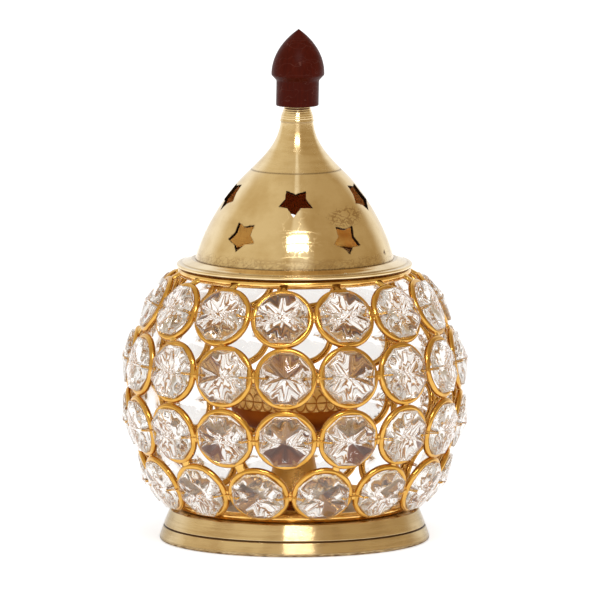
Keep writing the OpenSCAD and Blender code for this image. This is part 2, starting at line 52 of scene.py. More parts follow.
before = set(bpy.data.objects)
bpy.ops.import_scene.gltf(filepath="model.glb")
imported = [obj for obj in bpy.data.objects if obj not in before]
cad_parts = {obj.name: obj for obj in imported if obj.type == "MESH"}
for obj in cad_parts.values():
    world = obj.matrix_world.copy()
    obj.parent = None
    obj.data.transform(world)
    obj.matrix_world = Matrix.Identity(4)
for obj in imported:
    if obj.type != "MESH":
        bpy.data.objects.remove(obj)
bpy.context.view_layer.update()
MM = 0.001
FULL_TURN = 2 * math.pi

# Heights, radii and walls of the turned pieces, as in the model
BASE_H, BASE_WALL, BASE_BORE_R, LEDGE_R, FOOT_R, FOOT_ROUND = 8.5, 2.2, 2.7, 33.9, 36.8, 0.8
GROOVE_Z, GROOVE_W, GROOVE_DEPTH = 4.0, 0.55, 0.35
REGISTER_R, REGISTER_WALL, REGISTER_H = 29.1, 1.6, 1.2
RIM_Z, BOWL_R, BOWL_BAND, BOWL_DEPTH, BOWL_WALL = 43.8, 17.6, 7.0, 14.8, 1.4
FLOOR_R, FLOOR_RISE, SPIGOT_R, SPIGOT_L = 9.0, 2.5, 3.0, 5.9
PEDESTAL_FOOT_R, WAIST_R, COLLAR_R, SOCKET_R, SOCKET_DEPTH = 14.5, 4.9, 5.6, 3.1, 6.04
STUD_R, STUD_Z, STUD_CHAMFER = 2.5, 1.2, 0.4
HOOP_WIRE, TOP_HOOP_R, BOTTOM_HOOP_R = 2.0, 30.5, 30.4
RIM_OVERHANG, RIM_LIP, RIM_H, SKIRT_H, SKIRT_WALL, SKIRT_GAP = 0.6, 1.1, 2.3, 2.2, 1.4, 0.3
DOME_FOOT_R, DOME_H, DOME_WALL, SEAM_R = 27.0, 24.4, 1.1, 12.2
NECK_H, NECK_R, SLEEVE_L, COLLAR_H, COLLAR_TOP_R = 13.1, 4.45, 2.0, 4.2, 3.4
KNOB_SHANK_R, KNOB_SHANK_H, KNOB_R, KNOB_BEVEL_H, KNOB_POINT_H = 5.8, 6.9, 7.2, 1.5, 12.5
SCREW_BORE_R, SCREW_BORE_DEPTH = 1.6, 9.5
SEAT = 0.04

# Rows of bead rings, from the top row down
COUNTS = (14, 16, 16, 14)
SIDE_GAPS = (0.25, 0.5, 0.46, 0.5)
TILTS = (28.0, 9.0, -12.0, -27.0)
PHASES = (-5.0, -3.1, -3.1, 11.2)
ROW_GAPS = (0.23, 0.46, 0.05)
ROWS = range(len(COUNTS))
RING_OD, RING_WIRE = 16.5, 1.5
RING_R = (RING_OD - RING_WIRE) / 2
TOP_REACH, BOTTOM_REACH = 4.19, 4.56

# Octagon beads: size across flats, thickness, edge, share of the facet corners, and place before a ring
BEAD_AF, BEAD_T, BEAD_EDGE, BEAD_FACET = 14.0, 4.8, 0.9, 0.8
OCTAGON_HALF = math.pi / 8
BEAD_CORNER_R = BEAD_AF / 2 / math.cos(OCTAGON_HALF)
BEAD_OUT = 0.8 + BEAD_EDGE / 2 + 0.1
HOLE_OFFSET, HOLE_D = 5.0, 1.3

# Wire as it is drawn here: a little thicker than in the model, with the rings' circles a little wider
HOOP_SEEN, RING_SEEN, RING_GROWN = 2.4, 1.85, 0.1

# Half widths of the solder webs at their start, middle and end, and their half thickness
SIDE_WEB, ROW_WEB, HOOP_WEB = (2.2, 1.5, 2.2), (2.0, 1.25, 2.0), (1.9, 1.15, 3.4)
WEB_THICK, HOOP_WEB_THICK = 0.62, 0.65
NEARLY_STRAIGHT = 1000.0

# Fineness of the meshes
BASE_SEGMENTS, BOWL_SEGMENTS, PEDESTAL_SEGMENTS, HOOP_SEGMENTS = 288, 720, 128, 200
DOME_SEGMENTS, NECK_SEGMENTS, KNOB_SEGMENTS = 300, 160, 128
WICK_STEPS, RING_STEPS, TIE_STEPS, WEB_STEPS = 90, 72, 72, 11
WICK_SIDES, RING_SIDES, TIE_SIDES, WEB_SIDES, HOOP_SIDES, HOLE_SIDES = 14, 14, 7, 14, 20, 16
EASE_STEPS, LONGEST_EASE = 3, 0.42

# Seeds of the random draws
BASE_SEED, WIRE_SEED, BEAD_SEED, TIE_SEED, STAR_SEED, SPECK_SEED = 4, 11, 5, 8, 3, 9
SIDE_WEB_SEED, ROW_WEB_SEED, HOOP_WEB_SEED = 21, 41, 61


def row_radius(row):
    """Radius of the circle on which a row's ring centres stand."""
    return (RING_OD + SIDE_GAPS[row]) / (2 * math.sin(math.pi / COUNTS[row]))


def rise(reach, across):
    """Height between two wires that lie a reach apart, and that far apart on the level."""
    return math.sqrt(max(reach**2 - across**2, 0))


def row_height(row):
    """Height of a row's ring centres: the lowest row stands on the bottom hoop, and each other row on the
    wire of the row below it."""
    lean = math.radians(TILTS[row])
    low = row_radius(row) + RING_R * math.sin(lean)
    if row == ROWS[-1]:
        return HOOP_Z + rise(BOTTOM_REACH, low - BOTTOM_HOOP_R) + RING_R * math.cos(lean)
    below = math.radians(TILTS[row + 1])
    step = rise(RING_WIRE + ROW_GAPS[row], row_radius(row + 1) - RING_R * math.sin(below) - low)
    return row_height(row + 1) + RING_R * (math.cos(below) + math.cos(lean)) + step


TOP_TILT = math.radians(TILTS[0])
HOOP_Z = BASE_H + HOOP_WIRE / 2 + SEAT
TOP_WIRE_R = row_radius(0) - RING_R * math.sin(TOP_TILT)
TOP_HOOP_Z = row_height(0) + RING_R * math.cos(TOP_TILT) + rise(TOP_REACH, TOP_WIRE_R - TOP_HOOP_R)
LID_Z = TOP_HOOP_Z + HOOP_WIRE / 2 + SEAT
FOOT_Z = LID_Z + RIM_H
SEAM_Z = FOOT_Z + DOME_H
COLLAR_Z = SEAM_Z + NECK_H
NECK_TOP = COLLAR_Z + COLLAR_H
KNOB_Z = NECK_TOP + SEAT


# Surfaces


def round_angles(count):
    """Even angles round a full turn."""
    return np.linspace(0, FULL_TURN, count, endpoint=False)


def unit(vectors):
    """Vectors divided by their lengths."""
    return vectors / np.linalg.norm(vectors, axis=-1, keepdims=True)


def cubic(a, b, c, d, steps):
    """Points of the cubic curve with control points a, b, c, d, summed with the Bernstein weights."""
    t = np.linspace(0, 1, steps + 1)[:, None]
    a, b, c, d = (np.asarray(p, float) for p in (a, b, c, d))
    return a * (1 - t) ** 3 + 3 * b * t * (1 - t) ** 2 + 3 * c * t**2 * (1 - t) + d * t**3


def rounded(points, radius):
    """A profile with its inner corners rounded: each corner becomes a quadratic curve between the points that
    lie the radius back along its two sides, or a share of a side that is too short for it."""
    p = np.asarray(points, float)
    here = p[1:-1]
    ends = []
    for side in (p[:-2] - here, p[2:] - here):
        size = np.linalg.norm(side, axis=1)
        ends.append(here + side * (np.minimum(radius, LONGEST_EASE * size) / size)[:, None])
    t = np.linspace(0, 1, EASE_STEPS + 1)[None, :, None]
    arcs = ends[0][:, None] * (1 - t) ** 2 + 2 * here[:, None] * t * (1 - t) + ends[1][:, None] * t**2
    return np.concatenate([p[:1], arcs.reshape(-1, 2), p[-1:]])


def spline(knots, samples):
    """Closed uniform cubic B-splines of many knot rows at once: four neighbouring knots times the basis."""
    count = knots.shape[1]
    at = np.arange(samples) / samples * count
    first = at.astype(int)
    t = at - first
    weights = [(1 - t) ** 3, 3 * t**3 - 6 * t**2 + 4, -3 * t**3 + 3 * t**2 + 3 * t + 1, t**3]
    return sum(knots[:, (first + k) % count] * (weight / 6)[:, None] for k, weight in enumerate(weights))


def grid_faces(rows, columns, wrap_rows, wrap_columns):
    """Quads of a grid of points: each joins a point to the next in its row and the two below."""
    i = np.arange(rows if wrap_rows else rows - 1)[:, None]
    j = np.arange(columns if wrap_columns else columns - 1)[None, :]
    n, m = (i + 1) % rows, (j + 1) % columns
    return np.stack([i * columns + j, i * columns + m, n * columns + m, n * columns + j], -1).reshape(-1, 4)


def turned(profile, segments, closed=True):
    """A profile of (radius, height) turned about Z: x = r sin a, y = -r cos a, for even angles a."""
    p = np.asarray(profile, float)
    a = round_angles(segments)
    r, z = p[:, :1], np.broadcast_to(p[:, 1:], (len(p), segments))
    points = np.stack([r * np.sin(a), -r * np.cos(a), z], -1).reshape(-1, 3)
    return points, grid_faces(len(p), segments, closed, True)


def capped(points, first, last):
    """Tubes (tubes, steps, sides, 3) closed at both ends by a step whose points all lie on one spot."""
    poles = [np.repeat(spot[:, None, None], points.shape[2], 2) for spot in (first, last)]
    return np.concatenate([poles[0], points, poles[1]], 1)


def tubes(points, wrap):
    """Points and faces of many tubes (tubes, steps, sides, 3). A wrapped tube's last step joins its first."""
    copies, steps, sides = points.shape[:3]
    first = steps * sides * np.arange(copies)[:, None, None]
    return points.reshape(-1, 3), (grid_faces(steps, sides, wrap, True) + first).reshape(-1, 4)


def swept(path, width, depth, radius, sides, wrap=True):
    """Circles carried along many paths at once: each point gets cos(b) width + sin(b) depth, times the
    radius. path, width and depth are (paths, points, 3). Paths that don't wrap are closed at their ends."""
    b = round_angles(sides)[:, None]
    around = np.cos(b) * width[:, :, None] + np.sin(b) * depth[:, :, None]
    points = path[:, :, None] + radius * around
    if not wrap:
        points = capped(points, path[:, 0], path[:, -1])
    return tubes(points, wrap)


def ring_frames(row):
    """Axes (copies, 3, 3) and centres (copies, 3) of a row's rings: the last axis points out of the ring."""
    a = np.radians(PHASES[row] + 360 * np.arange(COUNTS[row]) / COUNTS[row])
    lean = math.radians(90 - TILTS[row])
    zero, one = np.zeros_like(a), np.ones_like(a)
    out = np.stack([np.sin(a), -np.cos(a), zero], -1)
    along = np.stack([np.cos(a), np.sin(a), zero], -1)
    up = np.stack([zero, zero, one], -1)
    second = up * math.sin(lean) - out * math.cos(lean)
    third = up * math.cos(lean) + out * math.sin(lean)
    centres = out * row_radius(row) + up * row_height(row)
    return np.stack([along, second, third], 1), centres


def placed(local, axes, centres):
    """Points (copies, points, 3) carried from each ring's own axes and centre to the lamp's."""
    return np.einsum("nvk,nkj->nvj", local, axes) + centres[:, None]


def on_wire(axes, centres, target):
    """The point of each ring's wire towards a target: the target's direction in the ring's plane."""
    local = np.einsum("nkj,nj->nk", axes, target - centres)
    local[:, 2] = 0
    local *= RING_R / np.linalg.norm(local, axis=1, keepdims=True)
    return np.einsum("nk,nkj->nj", local, axes) + centres


def fillets(start, end, tangents, bends, widths, thick, seed):
    """Solder webs between pairs of wire points. At s from -1 to 1 along the axis the half width along the
    wires is middle + (end - middle) |s|^2.2, and the web is thin across. Its ends bend by
    s |s| x^2 / (2 bend), x being the place across it, so that they follow wires of that bend and stay inside
    them."""
    rng = np.random.default_rng(seed)
    n = len(start)
    axis = unit(end - start)
    near, far = tangents
    side = near + far * np.sign(np.sum(near * far, 1, keepdims=True))
    side = unit(side - axis * np.sum(axis * side, 1, keepdims=True))
    depth = np.cross(axis, side)
    s = np.linspace(-1, 1, WEB_STEPS)
    b = round_angles(WEB_SIDES)
    size = rng.uniform(0.86, 1.14, (n, 1))
    ends = np.where(s < 0, widths[0], widths[2])
    half = size * (widths[1] + (ends - widths[1]) * np.abs(s) ** 2.2)
    turn = rng.uniform(0, FULL_TURN, (2, n, 1, 1))
    ripple = 1 + 0.06 * np.sin(b + 2 * s[:, None] + turn[0]) + 0.04 * np.sin(3 * b + turn[1])
    across = half[..., None] * np.cos(b) * ripple
    deep = thick * (1 + 0.12 * np.abs(s[:, None]) ** 3) * np.sin(b) * ripple
    bend = np.where(s < 0, bends[0], bends[1])[:, None]
    reach = np.linalg.norm(end - start, axis=1)[:, None, None] / 2 * s[:, None]
    reach = reach + (s * np.abs(s))[:, None] * across**2 / (2 * bend)
    middle = ((start + end) / 2)[:, None, None]
    parts = zip((reach, across, deep), (axis, side, depth))
    points = middle + sum(amount[..., None] * way[:, None, None] for amount, way in parts)
    return tubes(capped(points, start, end), False)


# Meshes and objects


def raw_mesh(name, points, total, index):
    """A mesh from its points, the number of corners of each face, and the corners' points in order."""
    mesh = bpy.data.meshes.new(name)
    mesh.vertices.add(len(points))
    mesh.vertices.foreach_set("co", (np.asarray(points) * MM).astype(np.float32).ravel())
    mesh.loops.add(len(index))
    mesh.loops.foreach_set("vertex_index", index.astype(np.int32))
    mesh.polygons.add(len(total))
    mesh.polygons.foreach_set("loop_start", (np.cumsum(total) - total).astype(np.int32))
    mesh.update(calc_edges=True)
    return mesh


def paint(mesh, attributes):
    """Stores values from 0 to 1 at a mesh's points, for its finish to read."""
    for key, values in attributes.items():
        flat = np.asarray(values, np.float32).ravel()
        mesh.attributes.new(key, "FLOAT", "POINT").data.foreach_set("value", flat)


def face_outwards(mesh):
    """Merges a mesh's doubles and turns its faces outwards."""
    work = bmesh.new()
    work.from_mesh(mesh)
    bmesh.ops.remove_doubles(work, verts=work.verts, dist=1e-7)
    bmesh.ops.dissolve_degenerate(work, edges=work.edges, dist=1e-8)
    bmesh.ops.recalc_face_normals(work, faces=work.faces)
    work.to_mesh(mesh)
    work.free()


def mesh_from(name, points, faces, attributes=None, crease=35):
    """A smooth mesh of faces with equally many corners. Edges that turn by more than the crease, in degrees,
    stay sharp."""
    mesh = raw_mesh(name, points, np.full(len(faces), faces.shape[1]), faces.ravel())
    paint(mesh, attributes or {})
    face_outwards(mesh)
    mesh.shade_smooth()
    mesh.set_sharp_from_angle(angle=math.radians(crease))
    return mesh


def ngon_mesh(name, points, total, index, kinds):
    """A mesh of faces with any number of corners, each with the number of its finish."""
    mesh = raw_mesh(name, points, total, index)
    mesh.polygons.foreach_set("material_index", kinds.astype(np.int32))
    return mesh


def loose(name, data):
    """A new object in the scene."""
    made = bpy.data.objects.new(name, data)
    bpy.context.scene.collection.objects.link(made)
    return made


def piece(mesh, body, slot, node, *finishes):
    """A mesh made an object that rides a body, takes the finishes given and stands for a node. The slot is
    not used.
    """
    made = loose(mesh.name, mesh)
    for finish in finishes:
        mesh.materials.append(finish)
    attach(made, body)
    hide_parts(node)


def cut_by(made, name, prisms):
    """Cuts prisms out of an object with a Boolean. Each prism is its lower outline and then its upper one,
    and has a wall between each two neighbouring corners and a cap at each end."""
    half = len(prisms[0]) // 2
    i = np.arange(half)
    n = (i + 1) % half
    walls = np.stack([i, n, n + half, i + half], -1)
    one = np.concatenate([walls.ravel(), i[::-1], i + half])
    index = (one + 2 * half * np.arange(len(prisms))[:, None]).ravel()
    total = np.tile(np.append(np.full(half, 4), [half, half]), len(prisms))
    cut = made.modifiers.new(name, "BOOLEAN")
    cut.operation = "DIFFERENCE"
    cut.solver = "EXACT"
    cut.object = loose(name, raw_mesh(name, np.concatenate(prisms), total, index))


def evaluated(made):
    """Points, face sizes, corner indices and face normals of an object with its modifiers applied. The object
    and what cuts it are removed."""

    def values(items, key, width, kind):
        """One array of all items' values."""
        found = np.zeros(len(items) * width, kind)
        items.foreach_get(key, found)
        return found

    mesh = bpy.data.meshes.new_from_object(made.evaluated_get(bpy.context.evaluated_depsgraph_get()))
    points = values(mesh.vertices, "co", 3, float).reshape(-1, 3) / MM
    total = values(mesh.polygons, "loop_total", 1, int)
    index = values(mesh.loops, "vertex_index", 1, int)
    normal = values(mesh.polygons, "normal", 3, float).reshape(-1, 3)
    bpy.data.meshes.remove(mesh)
    for used in [made, *[m.object for m in made.modifiers if m.type == "BOOLEAN"]]:
        used_mesh = used.data
        bpy.data.objects.remove(used)
        bpy.data.meshes.remove(used_mesh)
    return points, total, index, normal


def face_means(values, total, index):
    """The mean over each face of what its corners' points have."""
    return np.add.reduceat(values[index], np.cumsum(total) - total) / total[:, None]


# Finishes


def feed(tree, node, inputs):
    """Sets or links a node's inputs."""
    for key, value in inputs.items():
        if isinstance(value, bpy.types.NodeSocket):
            tree.links.new(value, node.inputs[key])
        else:
            node.inputs[key].default_value = value


def add(tree, kind, inputs=None, **settings):
    """A node with its settings made and its inputs set or linked."""
    made = tree.nodes.new(kind)
    for key, value in settings.items():
        setattr(made, key, value)
    feed(tree, made, inputs or {})
    return made


def maths(tree, operation, a, b=0.0):
    """The output of a Math node."""
    return add(tree, "ShaderNodeMath", {0: a, 1: b}, operation=operation).outputs[0]


def plus(tree, a, b):
    """Two values added."""
    return maths(tree, "ADD", a, b)


def minus(tree, a, b):
    """One value less another."""
    return maths(tree, "SUBTRACT", a, b)


def times(tree, a, b):
    """Two values multiplied."""
    return maths(tree, "MULTIPLY", a, b)


def ranged(tree, value, low, high, to_low=0.0, to_high=1.0):
    """A value mapped smoothly from one range to another."""
    inputs = {"Value": value, "From Min": low, "From Max": high, "To Min": to_low, "To Max": to_high}
    return add(tree, "ShaderNodeMapRange", inputs, interpolation_type="SMOOTHSTEP").outputs["Result"]


def mixed(tree, factor, a, b):
    """Two colours mixed."""
    return add(tree, "ShaderNodeMix", {0: factor, 6: a, 7: b}, data_type="RGBA").outputs[2]


def rgba(colour):
    """A colour with full alpha."""
    return (*colour[:3], 1.0)


def spot_on(tree):
    """The place on the object."""
    return add(tree, "ShaderNodeTexCoord").outputs["Object"]


def stretched(tree, scale, rotation=(0.0, 0.0, 0.0)):
    """The place on the object, turned and stretched."""
    inputs = {"Vector": spot_on(tree), "Rotation": rotation, "Scale": scale}
    return add(tree, "ShaderNodeMapping", inputs).outputs[0]


def noise(tree, where, scale, detail, roughness=0.5):
    """Noise from 0 to 1."""
    inputs = {"Vector": where, "Scale": scale, "Detail": detail, "Roughness": roughness}
    return add(tree, "ShaderNodeTexNoise", inputs).outputs["Fac"]


def painted(tree, key):
    """Values that were stored at the mesh's points."""
    return add(tree, "ShaderNodeAttribute", attribute_name=key).outputs["Fac"]


def relief(tree, height, depth):
    """Normals of a relief of the given depth."""
    inputs = {"Height": height, "Strength": 1.0, "Distance": depth * MM}
    return add(tree, "ShaderNodeBump", inputs).outputs["Normal"]


def group(name, inputs, output):
    """An empty node group with float inputs and one float output. Returns its tree, its inputs and its
    output node."""
    tree = bpy.data.node_groups.new(name, "ShaderNodeTree")
    for key, value in inputs.items():
        tree.interface.new_socket(key, in_out="INPUT", socket_type="NodeSocketFloat").default_value = value
    tree.interface.new_socket(output, in_out="OUTPUT", socket_type="NodeSocketFloat")
    return tree, tree.nodes.new("NodeGroupInput").outputs, tree.nodes.new("NodeGroupOutput")


def turned_lines_group():
    """Fine lines left by turning: noise along the profile, at z plus a share of r, that wavers round it."""
    tree, given, out = group("Turned lines", {"Scale": 2600.0, "Waver": 0.4}, "Lines")
    x, y, z = add(tree, "ShaderNodeSeparateXYZ", {0: spot_on(tree)}).outputs
    flat = add(tree, "ShaderNodeCombineXYZ", {0: x, 1: y}).outputs[0]
    radius = add(tree, "ShaderNodeVectorMath", {0: flat}, operation="LENGTH").outputs["Value"]
    facing = add(tree, "ShaderNodeVectorMath", {0: flat}, operation="NORMALIZE").outputs[0]
    facing = add(tree, "ShaderNodeVectorMath", {0: facing, "Scale": given["Waver"]}, operation="SCALE")
    facing = add(tree, "ShaderNodeSeparateXYZ", {0: facing.outputs[0]}).outputs
    along = times(tree, plus(tree, z, times(tree, radius, 0.6)), given["Scale"])
    where = add(tree, "ShaderNodeCombineXYZ", {0: along, 1: facing[0], 2: facing[1]}).outputs[0]
    feed(tree, out, {0: noise(tree, where, 1.0, 4.0, 0.62)})
    return tree


def cast_pits_group():
    """Small casting pits: the middles of Voronoi cells, kept only where a broad noise is high."""
    tree, given, out = group("Cast pits", {"Scale": 800.0, "Spread": 90.0, "Share": 0.58}, "Pits")
    spot = spot_on(tree)
    cells = add(tree, "ShaderNodeTexVoronoi", {"Vector": spot, "Scale": given["Scale"]}).outputs["Distance"]
    broad = noise(tree, spot, given["Spread"], 3.0)
    kept = ranged(tree, minus(tree, broad, given["Share"]), 0.0, 0.08)
    feed(tree, out, {0: times(tree, ranged(tree, cells, 0.06, 0.24, 1.0, 0.0), kept)})
    return tree


def tarnish_group():
    """Broad, cloudy change of tone over old metal: a noise spread from Low to High."""
    tree, given, out = group("Tarnish", {"Scale": 110.0, "Low": 0.4, "High": 0.66}, "Tarnish")
    clouds = noise(tree, spot_on(tree), given["Scale"], 6.0)
    inputs = {"Value": clouds, "From Min": given["Low"], "From Max": given["High"]}
    feed(tree, out, {0: add(tree, "ShaderNodeMapRange", inputs).outputs["Result"]})
    return tree


def fine_scratches_group():
    """Thin scratches in two directions: narrow bands of two stretched noises."""
    tree, given, out = group("Fine scratches", {"Scale": 260.0, "Width": 0.012}, "Scratches")
    found = []
    for turn, stretch in (((0.4, 0.9, 0.3), (1.0, 0.06, 1.0)), ((1.2, 0.2, 2.1), (0.05, 1.0, 1.0))):
        drawn = noise(tree, stretched(tree, stretch, turn), given["Scale"], 2.0)
        off = maths(tree, "ABSOLUTE", minus(tree, drawn, 0.5))
        found.append(maths(tree, "LESS_THAN", off, times(tree, given["Width"], 0.5)))
    feed(tree, out, {0: maths(tree, "MAXIMUM", *found)})
    return tree


GROUPS = {
    "Turned lines": turned_lines_group,
    "Cast pits": cast_pits_group,
    "Tarnish": tarnish_group,
    "Fine scratches": fine_scratches_group,
}


def effect(tree, name, **inputs):
    """A shared effect placed in a material, with its own values. The group is built once."""
    made = add(tree, "ShaderNodeGroup", node_tree=bpy.data.node_groups.get(name) or GROUPS[name]())
    feed(tree, made, inputs)
    return made.outputs[0]


def blank(name):
    """A material with an empty Principled shader. Returns the material, its tree and the shader."""
    made = bpy.data.materials.new(name)
    made.use_nodes = True
    return made, made.node_tree, made.node_tree.nodes["Principled BSDF"]


# How far turned lines shade plain and brushed metal, and how far clouds and lines change its gloss
LINE_SHADE, BRUSHED_SHADE, GLOSS_CHANGE = 0.3, 2.2, 0.4
# How dark and deep pits are, and how dull scratches, dirt and painted shade are
PIT_SHADE, PIT_DEPTH, SCRATCH_DULL, DIRT_AND_SHADE_DULL = 0.3, 3.0, 0.12, 0.3
# Shares of the dull colour that are left in dirt and painted shade
DIRT_AND_SHADE_SHARES = (0.16, 0.09, 0.05)
QUARTER_TURN = 0.25


def metal(
    name,
    bright,
    dull,
    roughness,
    lines,
    depth,
    pits=0.0,
    scratches=0.0,
    tarnish=110.0,
    brushed=0.0,
    dirt_and_shade_colour=None,
    edge=1.0,
):
    """Worn metal: the bright colour clouded with the dull one, darkened in cast pits and specked where it is
    worn, with turned lines, pits and scratches in the relief, and all but the pits in the gloss. Dirt and
    painted shade take the given colour, or else a dark tone of the dull one. Brushing round the axis spreads
    the gloss up and down, and edge is the strength of the reflection at grazing angles."""
    if name in bpy.data.materials:
        return bpy.data.materials[name]
    made, tree, shader = blank(name)
    clouds = effect(tree, "Tarnish", Scale=tarnish)
    fine = effect(tree, "Turned lines", Scale=lines[0], Waver=lines[1])
    shade = times(tree, minus(tree, fine, 0.5), LINE_SHADE + BRUSHED_SHADE * brushed)
    colour = mixed(tree, plus(tree, clouds, shade), rgba(bright), rgba(dull))
    height = fine
    gloss = plus(tree, times(tree, plus(tree, clouds, fine), GLOSS_CHANGE), 1 - GLOSS_CHANGE)
    gloss = times(tree, gloss, roughness)
    if pits:
        spots = effect(tree, "Cast pits")
        colour = mixed(tree, times(tree, spots, pits), colour, rgba([c * PIT_SHADE for c in dull]))
        height = minus(tree, height, times(tree, spots, PIT_DEPTH * pits))
    if scratches:
        hairs = effect(tree, "Fine scratches")
        height = minus(tree, height, times(tree, hairs, scratches))
        gloss = plus(tree, gloss, times(tree, hairs, SCRATCH_DULL))
        specks = effect(tree, "Cast pits", Scale=700.0, Spread=380.0, Share=0.45)
        specks = maths(tree, "MAXIMUM", specks, effect(tree, "Fine scratches", Scale=420.0, Width=0.05))
        worn = times(tree, painted(tree, "worn"), specks)
        colour = mixed(tree, worn, colour, (dull[0] * 0.4, dull[1] * 0.24, 0.02, 1.0))
    # Stored values of real dirt in some places and of painted shade in others darken the colour
    dirt_and_shade = painted(tree, "dirt_and_shade")
    dark = dirt_and_shade_colour or [c * share for c, share in zip(dull, DIRT_AND_SHADE_SHARES)]
    inputs = {
        "Base Color": mixed(tree, dirt_and_shade, colour, rgba(dark)),
        "Metallic": 1.0,
        "Roughness": plus(tree, gloss, times(tree, dirt_and_shade, DIRT_AND_SHADE_DULL)),
        "Normal": relief(tree, height, depth),
        "Specular Tint": rgba([edge] * 3),
        "Anisotropic": brushed,
        "Anisotropic Rotation": QUARTER_TURN,
    }
    feed(tree, shader, inputs)
    return made


# What the lid's finishes share, and what the wires' finishes share
LID_METAL = {"lines": (1500.0, 0.5), "depth": 0.004, "pits": 0.4, "scratches": 0.12}
WIRE_METAL = {"roughness": 0.2, "lines": (900.0, 5.0), "depth": 0.003, "pits": 0.25, "tarnish": 260.0}


def dome_finish():
    """Polished cast brass with fine turned lines, pits and hair scratches."""
    tones = bpy.context.scene.diya_finish
    return metal("Polished brass", tones.dome_brass, tones.dome_dull, tones.dome_roughness, **LID_METAL)


def neck_finish():
    """The lid's brass where it was finished on the lathe, with a taller gloss."""
    tones = bpy.context.scene.diya_finish
    return metal("Turned brass", tones.dome_brass, tones.dome_dull, 0.16, brushed=0.85, **LID_METAL)


def base_finish():
    """Satin brass, brushed round on the lathe."""
    tones = bpy.context.scene.diya_finish
    worked = {"lines": (1500.0, 1.2), "depth": 0.02, "pits": 0.35, "brushed": 1.0, "edge": 0.6}
    return metal("Brushed brass", tones.base_brass, tones.base_dull, tones.base_roughness, **worked)


def bowl_finish():
    """Brass of the bowl and pedestal inside the cage, darker, warmer and duller than the base."""
    tones = bpy.context.scene.diya_finish
    # The given dirt and shade colour darkens the engraved lines and paints the shade under the bowl
    worked = {"lines": (2400.0, 0.6), "depth": 0.02, "pits": 0.2, "dirt_and_shade_colour": (0.29, 0.06, 0.001)}
    return metal("Warm brass", tones.bowl_brass, tones.bowl_dull, 0.3, **worked)


def rough_finish():
    """Unpolished cast brass inside the dome, darkened by painted shade."""
    tones = bpy.context.scene.diya_finish
    # The given dirt and shade colour is the tone of the painted shade inside the dome
    worked = {"lines": (900.0, 1.0), "depth": 0.06, "pits": 0.4, "dirt_and_shade_colour": (0.22, 0.024, 0.001)}
    return metal("Rough cast brass", tones.inner_brass, tones.inner_dull, 0.5, **worked)


def hoop_finish():
    """Thicker wire of the hoops, in a brighter gold than the rings that paints their highlight."""
    tones = bpy.context.scene.diya_finish
    return metal("Hoop wire", tones.hoop_highlight_gold, tones.wire_gold, **WIRE_METAL)


def wire_finish():
    """Gold-coloured wire with a few specks."""
    tones = bpy.context.scene.diya_finish
    return metal("Gold wire", tones.wire_gold, tones.wire_dull, **WIRE_METAL)


def solder_finish():
    """Bright lumpy solder in the wire's colour."""
    tones = bpy.context.scene.diya_finish
    worked = {"lines": (500.0, 6.0), "depth": 0.03, "tarnish": 400.0}
    return metal("Bright solder", tones.solder_gold, tones.wire_gold, 0.2, **worked)


def sawn_finish():
    """Near-black edges of the sawn stars."""
    bright, dull = (0.09, 0.035, 0.008), (0.03, 0.012, 0.003)
    return metal("Sawn edges", bright, dull, 0.6, lines=(900.0, 1.0), depth=0.03)


def steel_finish():
    """Plain steel of the small screw and washer."""
    bright, dull = (0.56, 0.56, 0.58), (0.4, 0.4, 0.41)
    return metal("Plain steel", bright, dull, 0.35, lines=(3000.0, 2.0), depth=0.02)


def crystal_finish():
    """Clear cut glass with a faint warm cast that changes a little from place to place. It has a painted
    glow:
    faint everywhere, and paler where light has been thrown back four times inside, so that it ends in a glow
    and not in black."""
    tones = bpy.context.scene.diya_finish
    faint_glow, deep_glow, fourth = 0.012, 0.3, 3.5
    made, tree, shader = blank("Clear crystal")
    clouds = effect(tree, "Tarnish", Scale=140.0)
    worn = effect(tree, "Fine scratches", Scale=320.0, Width=0.008)
    deep = maths(tree, "GREATER_THAN", add(tree, "ShaderNodeLightPath").outputs["Glossy Depth"], fourth)
    inputs = {
        "Base Color": mixed(tree, clouds, rgba(tones.crystal), rgba([c * 0.985 for c in tones.crystal])),
        "Roughness": times(tree, worn, 0.1),
        "Transmission Weight": 1.0,
        "IOR": tones.crystal_ior,
        "Emission Color": rgba(tones.crystal_painted_glow),
        "Emission Strength": faint_glow,
    }
    feed(tree, shader, inputs)
    # This link takes the place of the faint strength above
    feed(tree, shader, {"Emission Strength": ranged(tree, deep, 0.0, 1.0, faint_glow, deep_glow)})
    return made


def drilled_finish():
    """Ground glass inside the drilled holes."""
    tones = bpy.context.scene.diya_finish
    made, tree, shader = blank("Ground crystal")
    clouds = effect(tree, "Tarnish", Scale=900.0)
    inputs = {
        "Base Color": mixed(tree, clouds, rgba(tones.crystal), rgba((0.75, 0.62, 0.48))),
        "Roughness": plus(tree, times(tree, clouds, 0.2), 0.25),
        "Transmission Weight": 1.0,
        "IOR": tones.crystal_ior,
    }
    feed(tree, shader, inputs)
    return made


def knob_finish():
    """Dark red-brown lacquer over turned wood: faint grain along Z, fine turned lines and pale scratches."""
    tones = bpy.context.scene.diya_finish
    scratch = (0.2, 0.08, 0.06)
    made, tree, shader = blank("Red lacquered wood")
    grain = noise(tree, stretched(tree, (1.0, 1.0, 0.12)), 1400.0, 5.0)
    clouds = effect(tree, "Tarnish", Scale=160.0)
    worn = effect(tree, "Fine scratches", Scale=240.0, Width=0.005)
    fine = effect(tree, "Turned lines", Scale=1600.0, Waver=0.5)
    colour = mixed(tree, ranged(tree, grain, 0.35, 0.7), rgba(tones.knob_dark), rgba(tones.knob_red))
    colour = mixed(tree, times(tree, clouds, 0.35), colour, rgba(tones.knob_red))
    height = minus(tree, plus(tree, fine, times(tree, grain, 0.3)), worn)
    inputs = {
        "Base Color": mixed(tree, times(tree, worn, 0.3), colour, rgba(scratch)),
        "Roughness": plus(tree, times(tree, fine, 0.16), 0.3),
        "Normal": relief(tree, height, 0.01),
        "Specular IOR Level": 0.06,
    }
    feed(tree, shader, inputs)
    return made


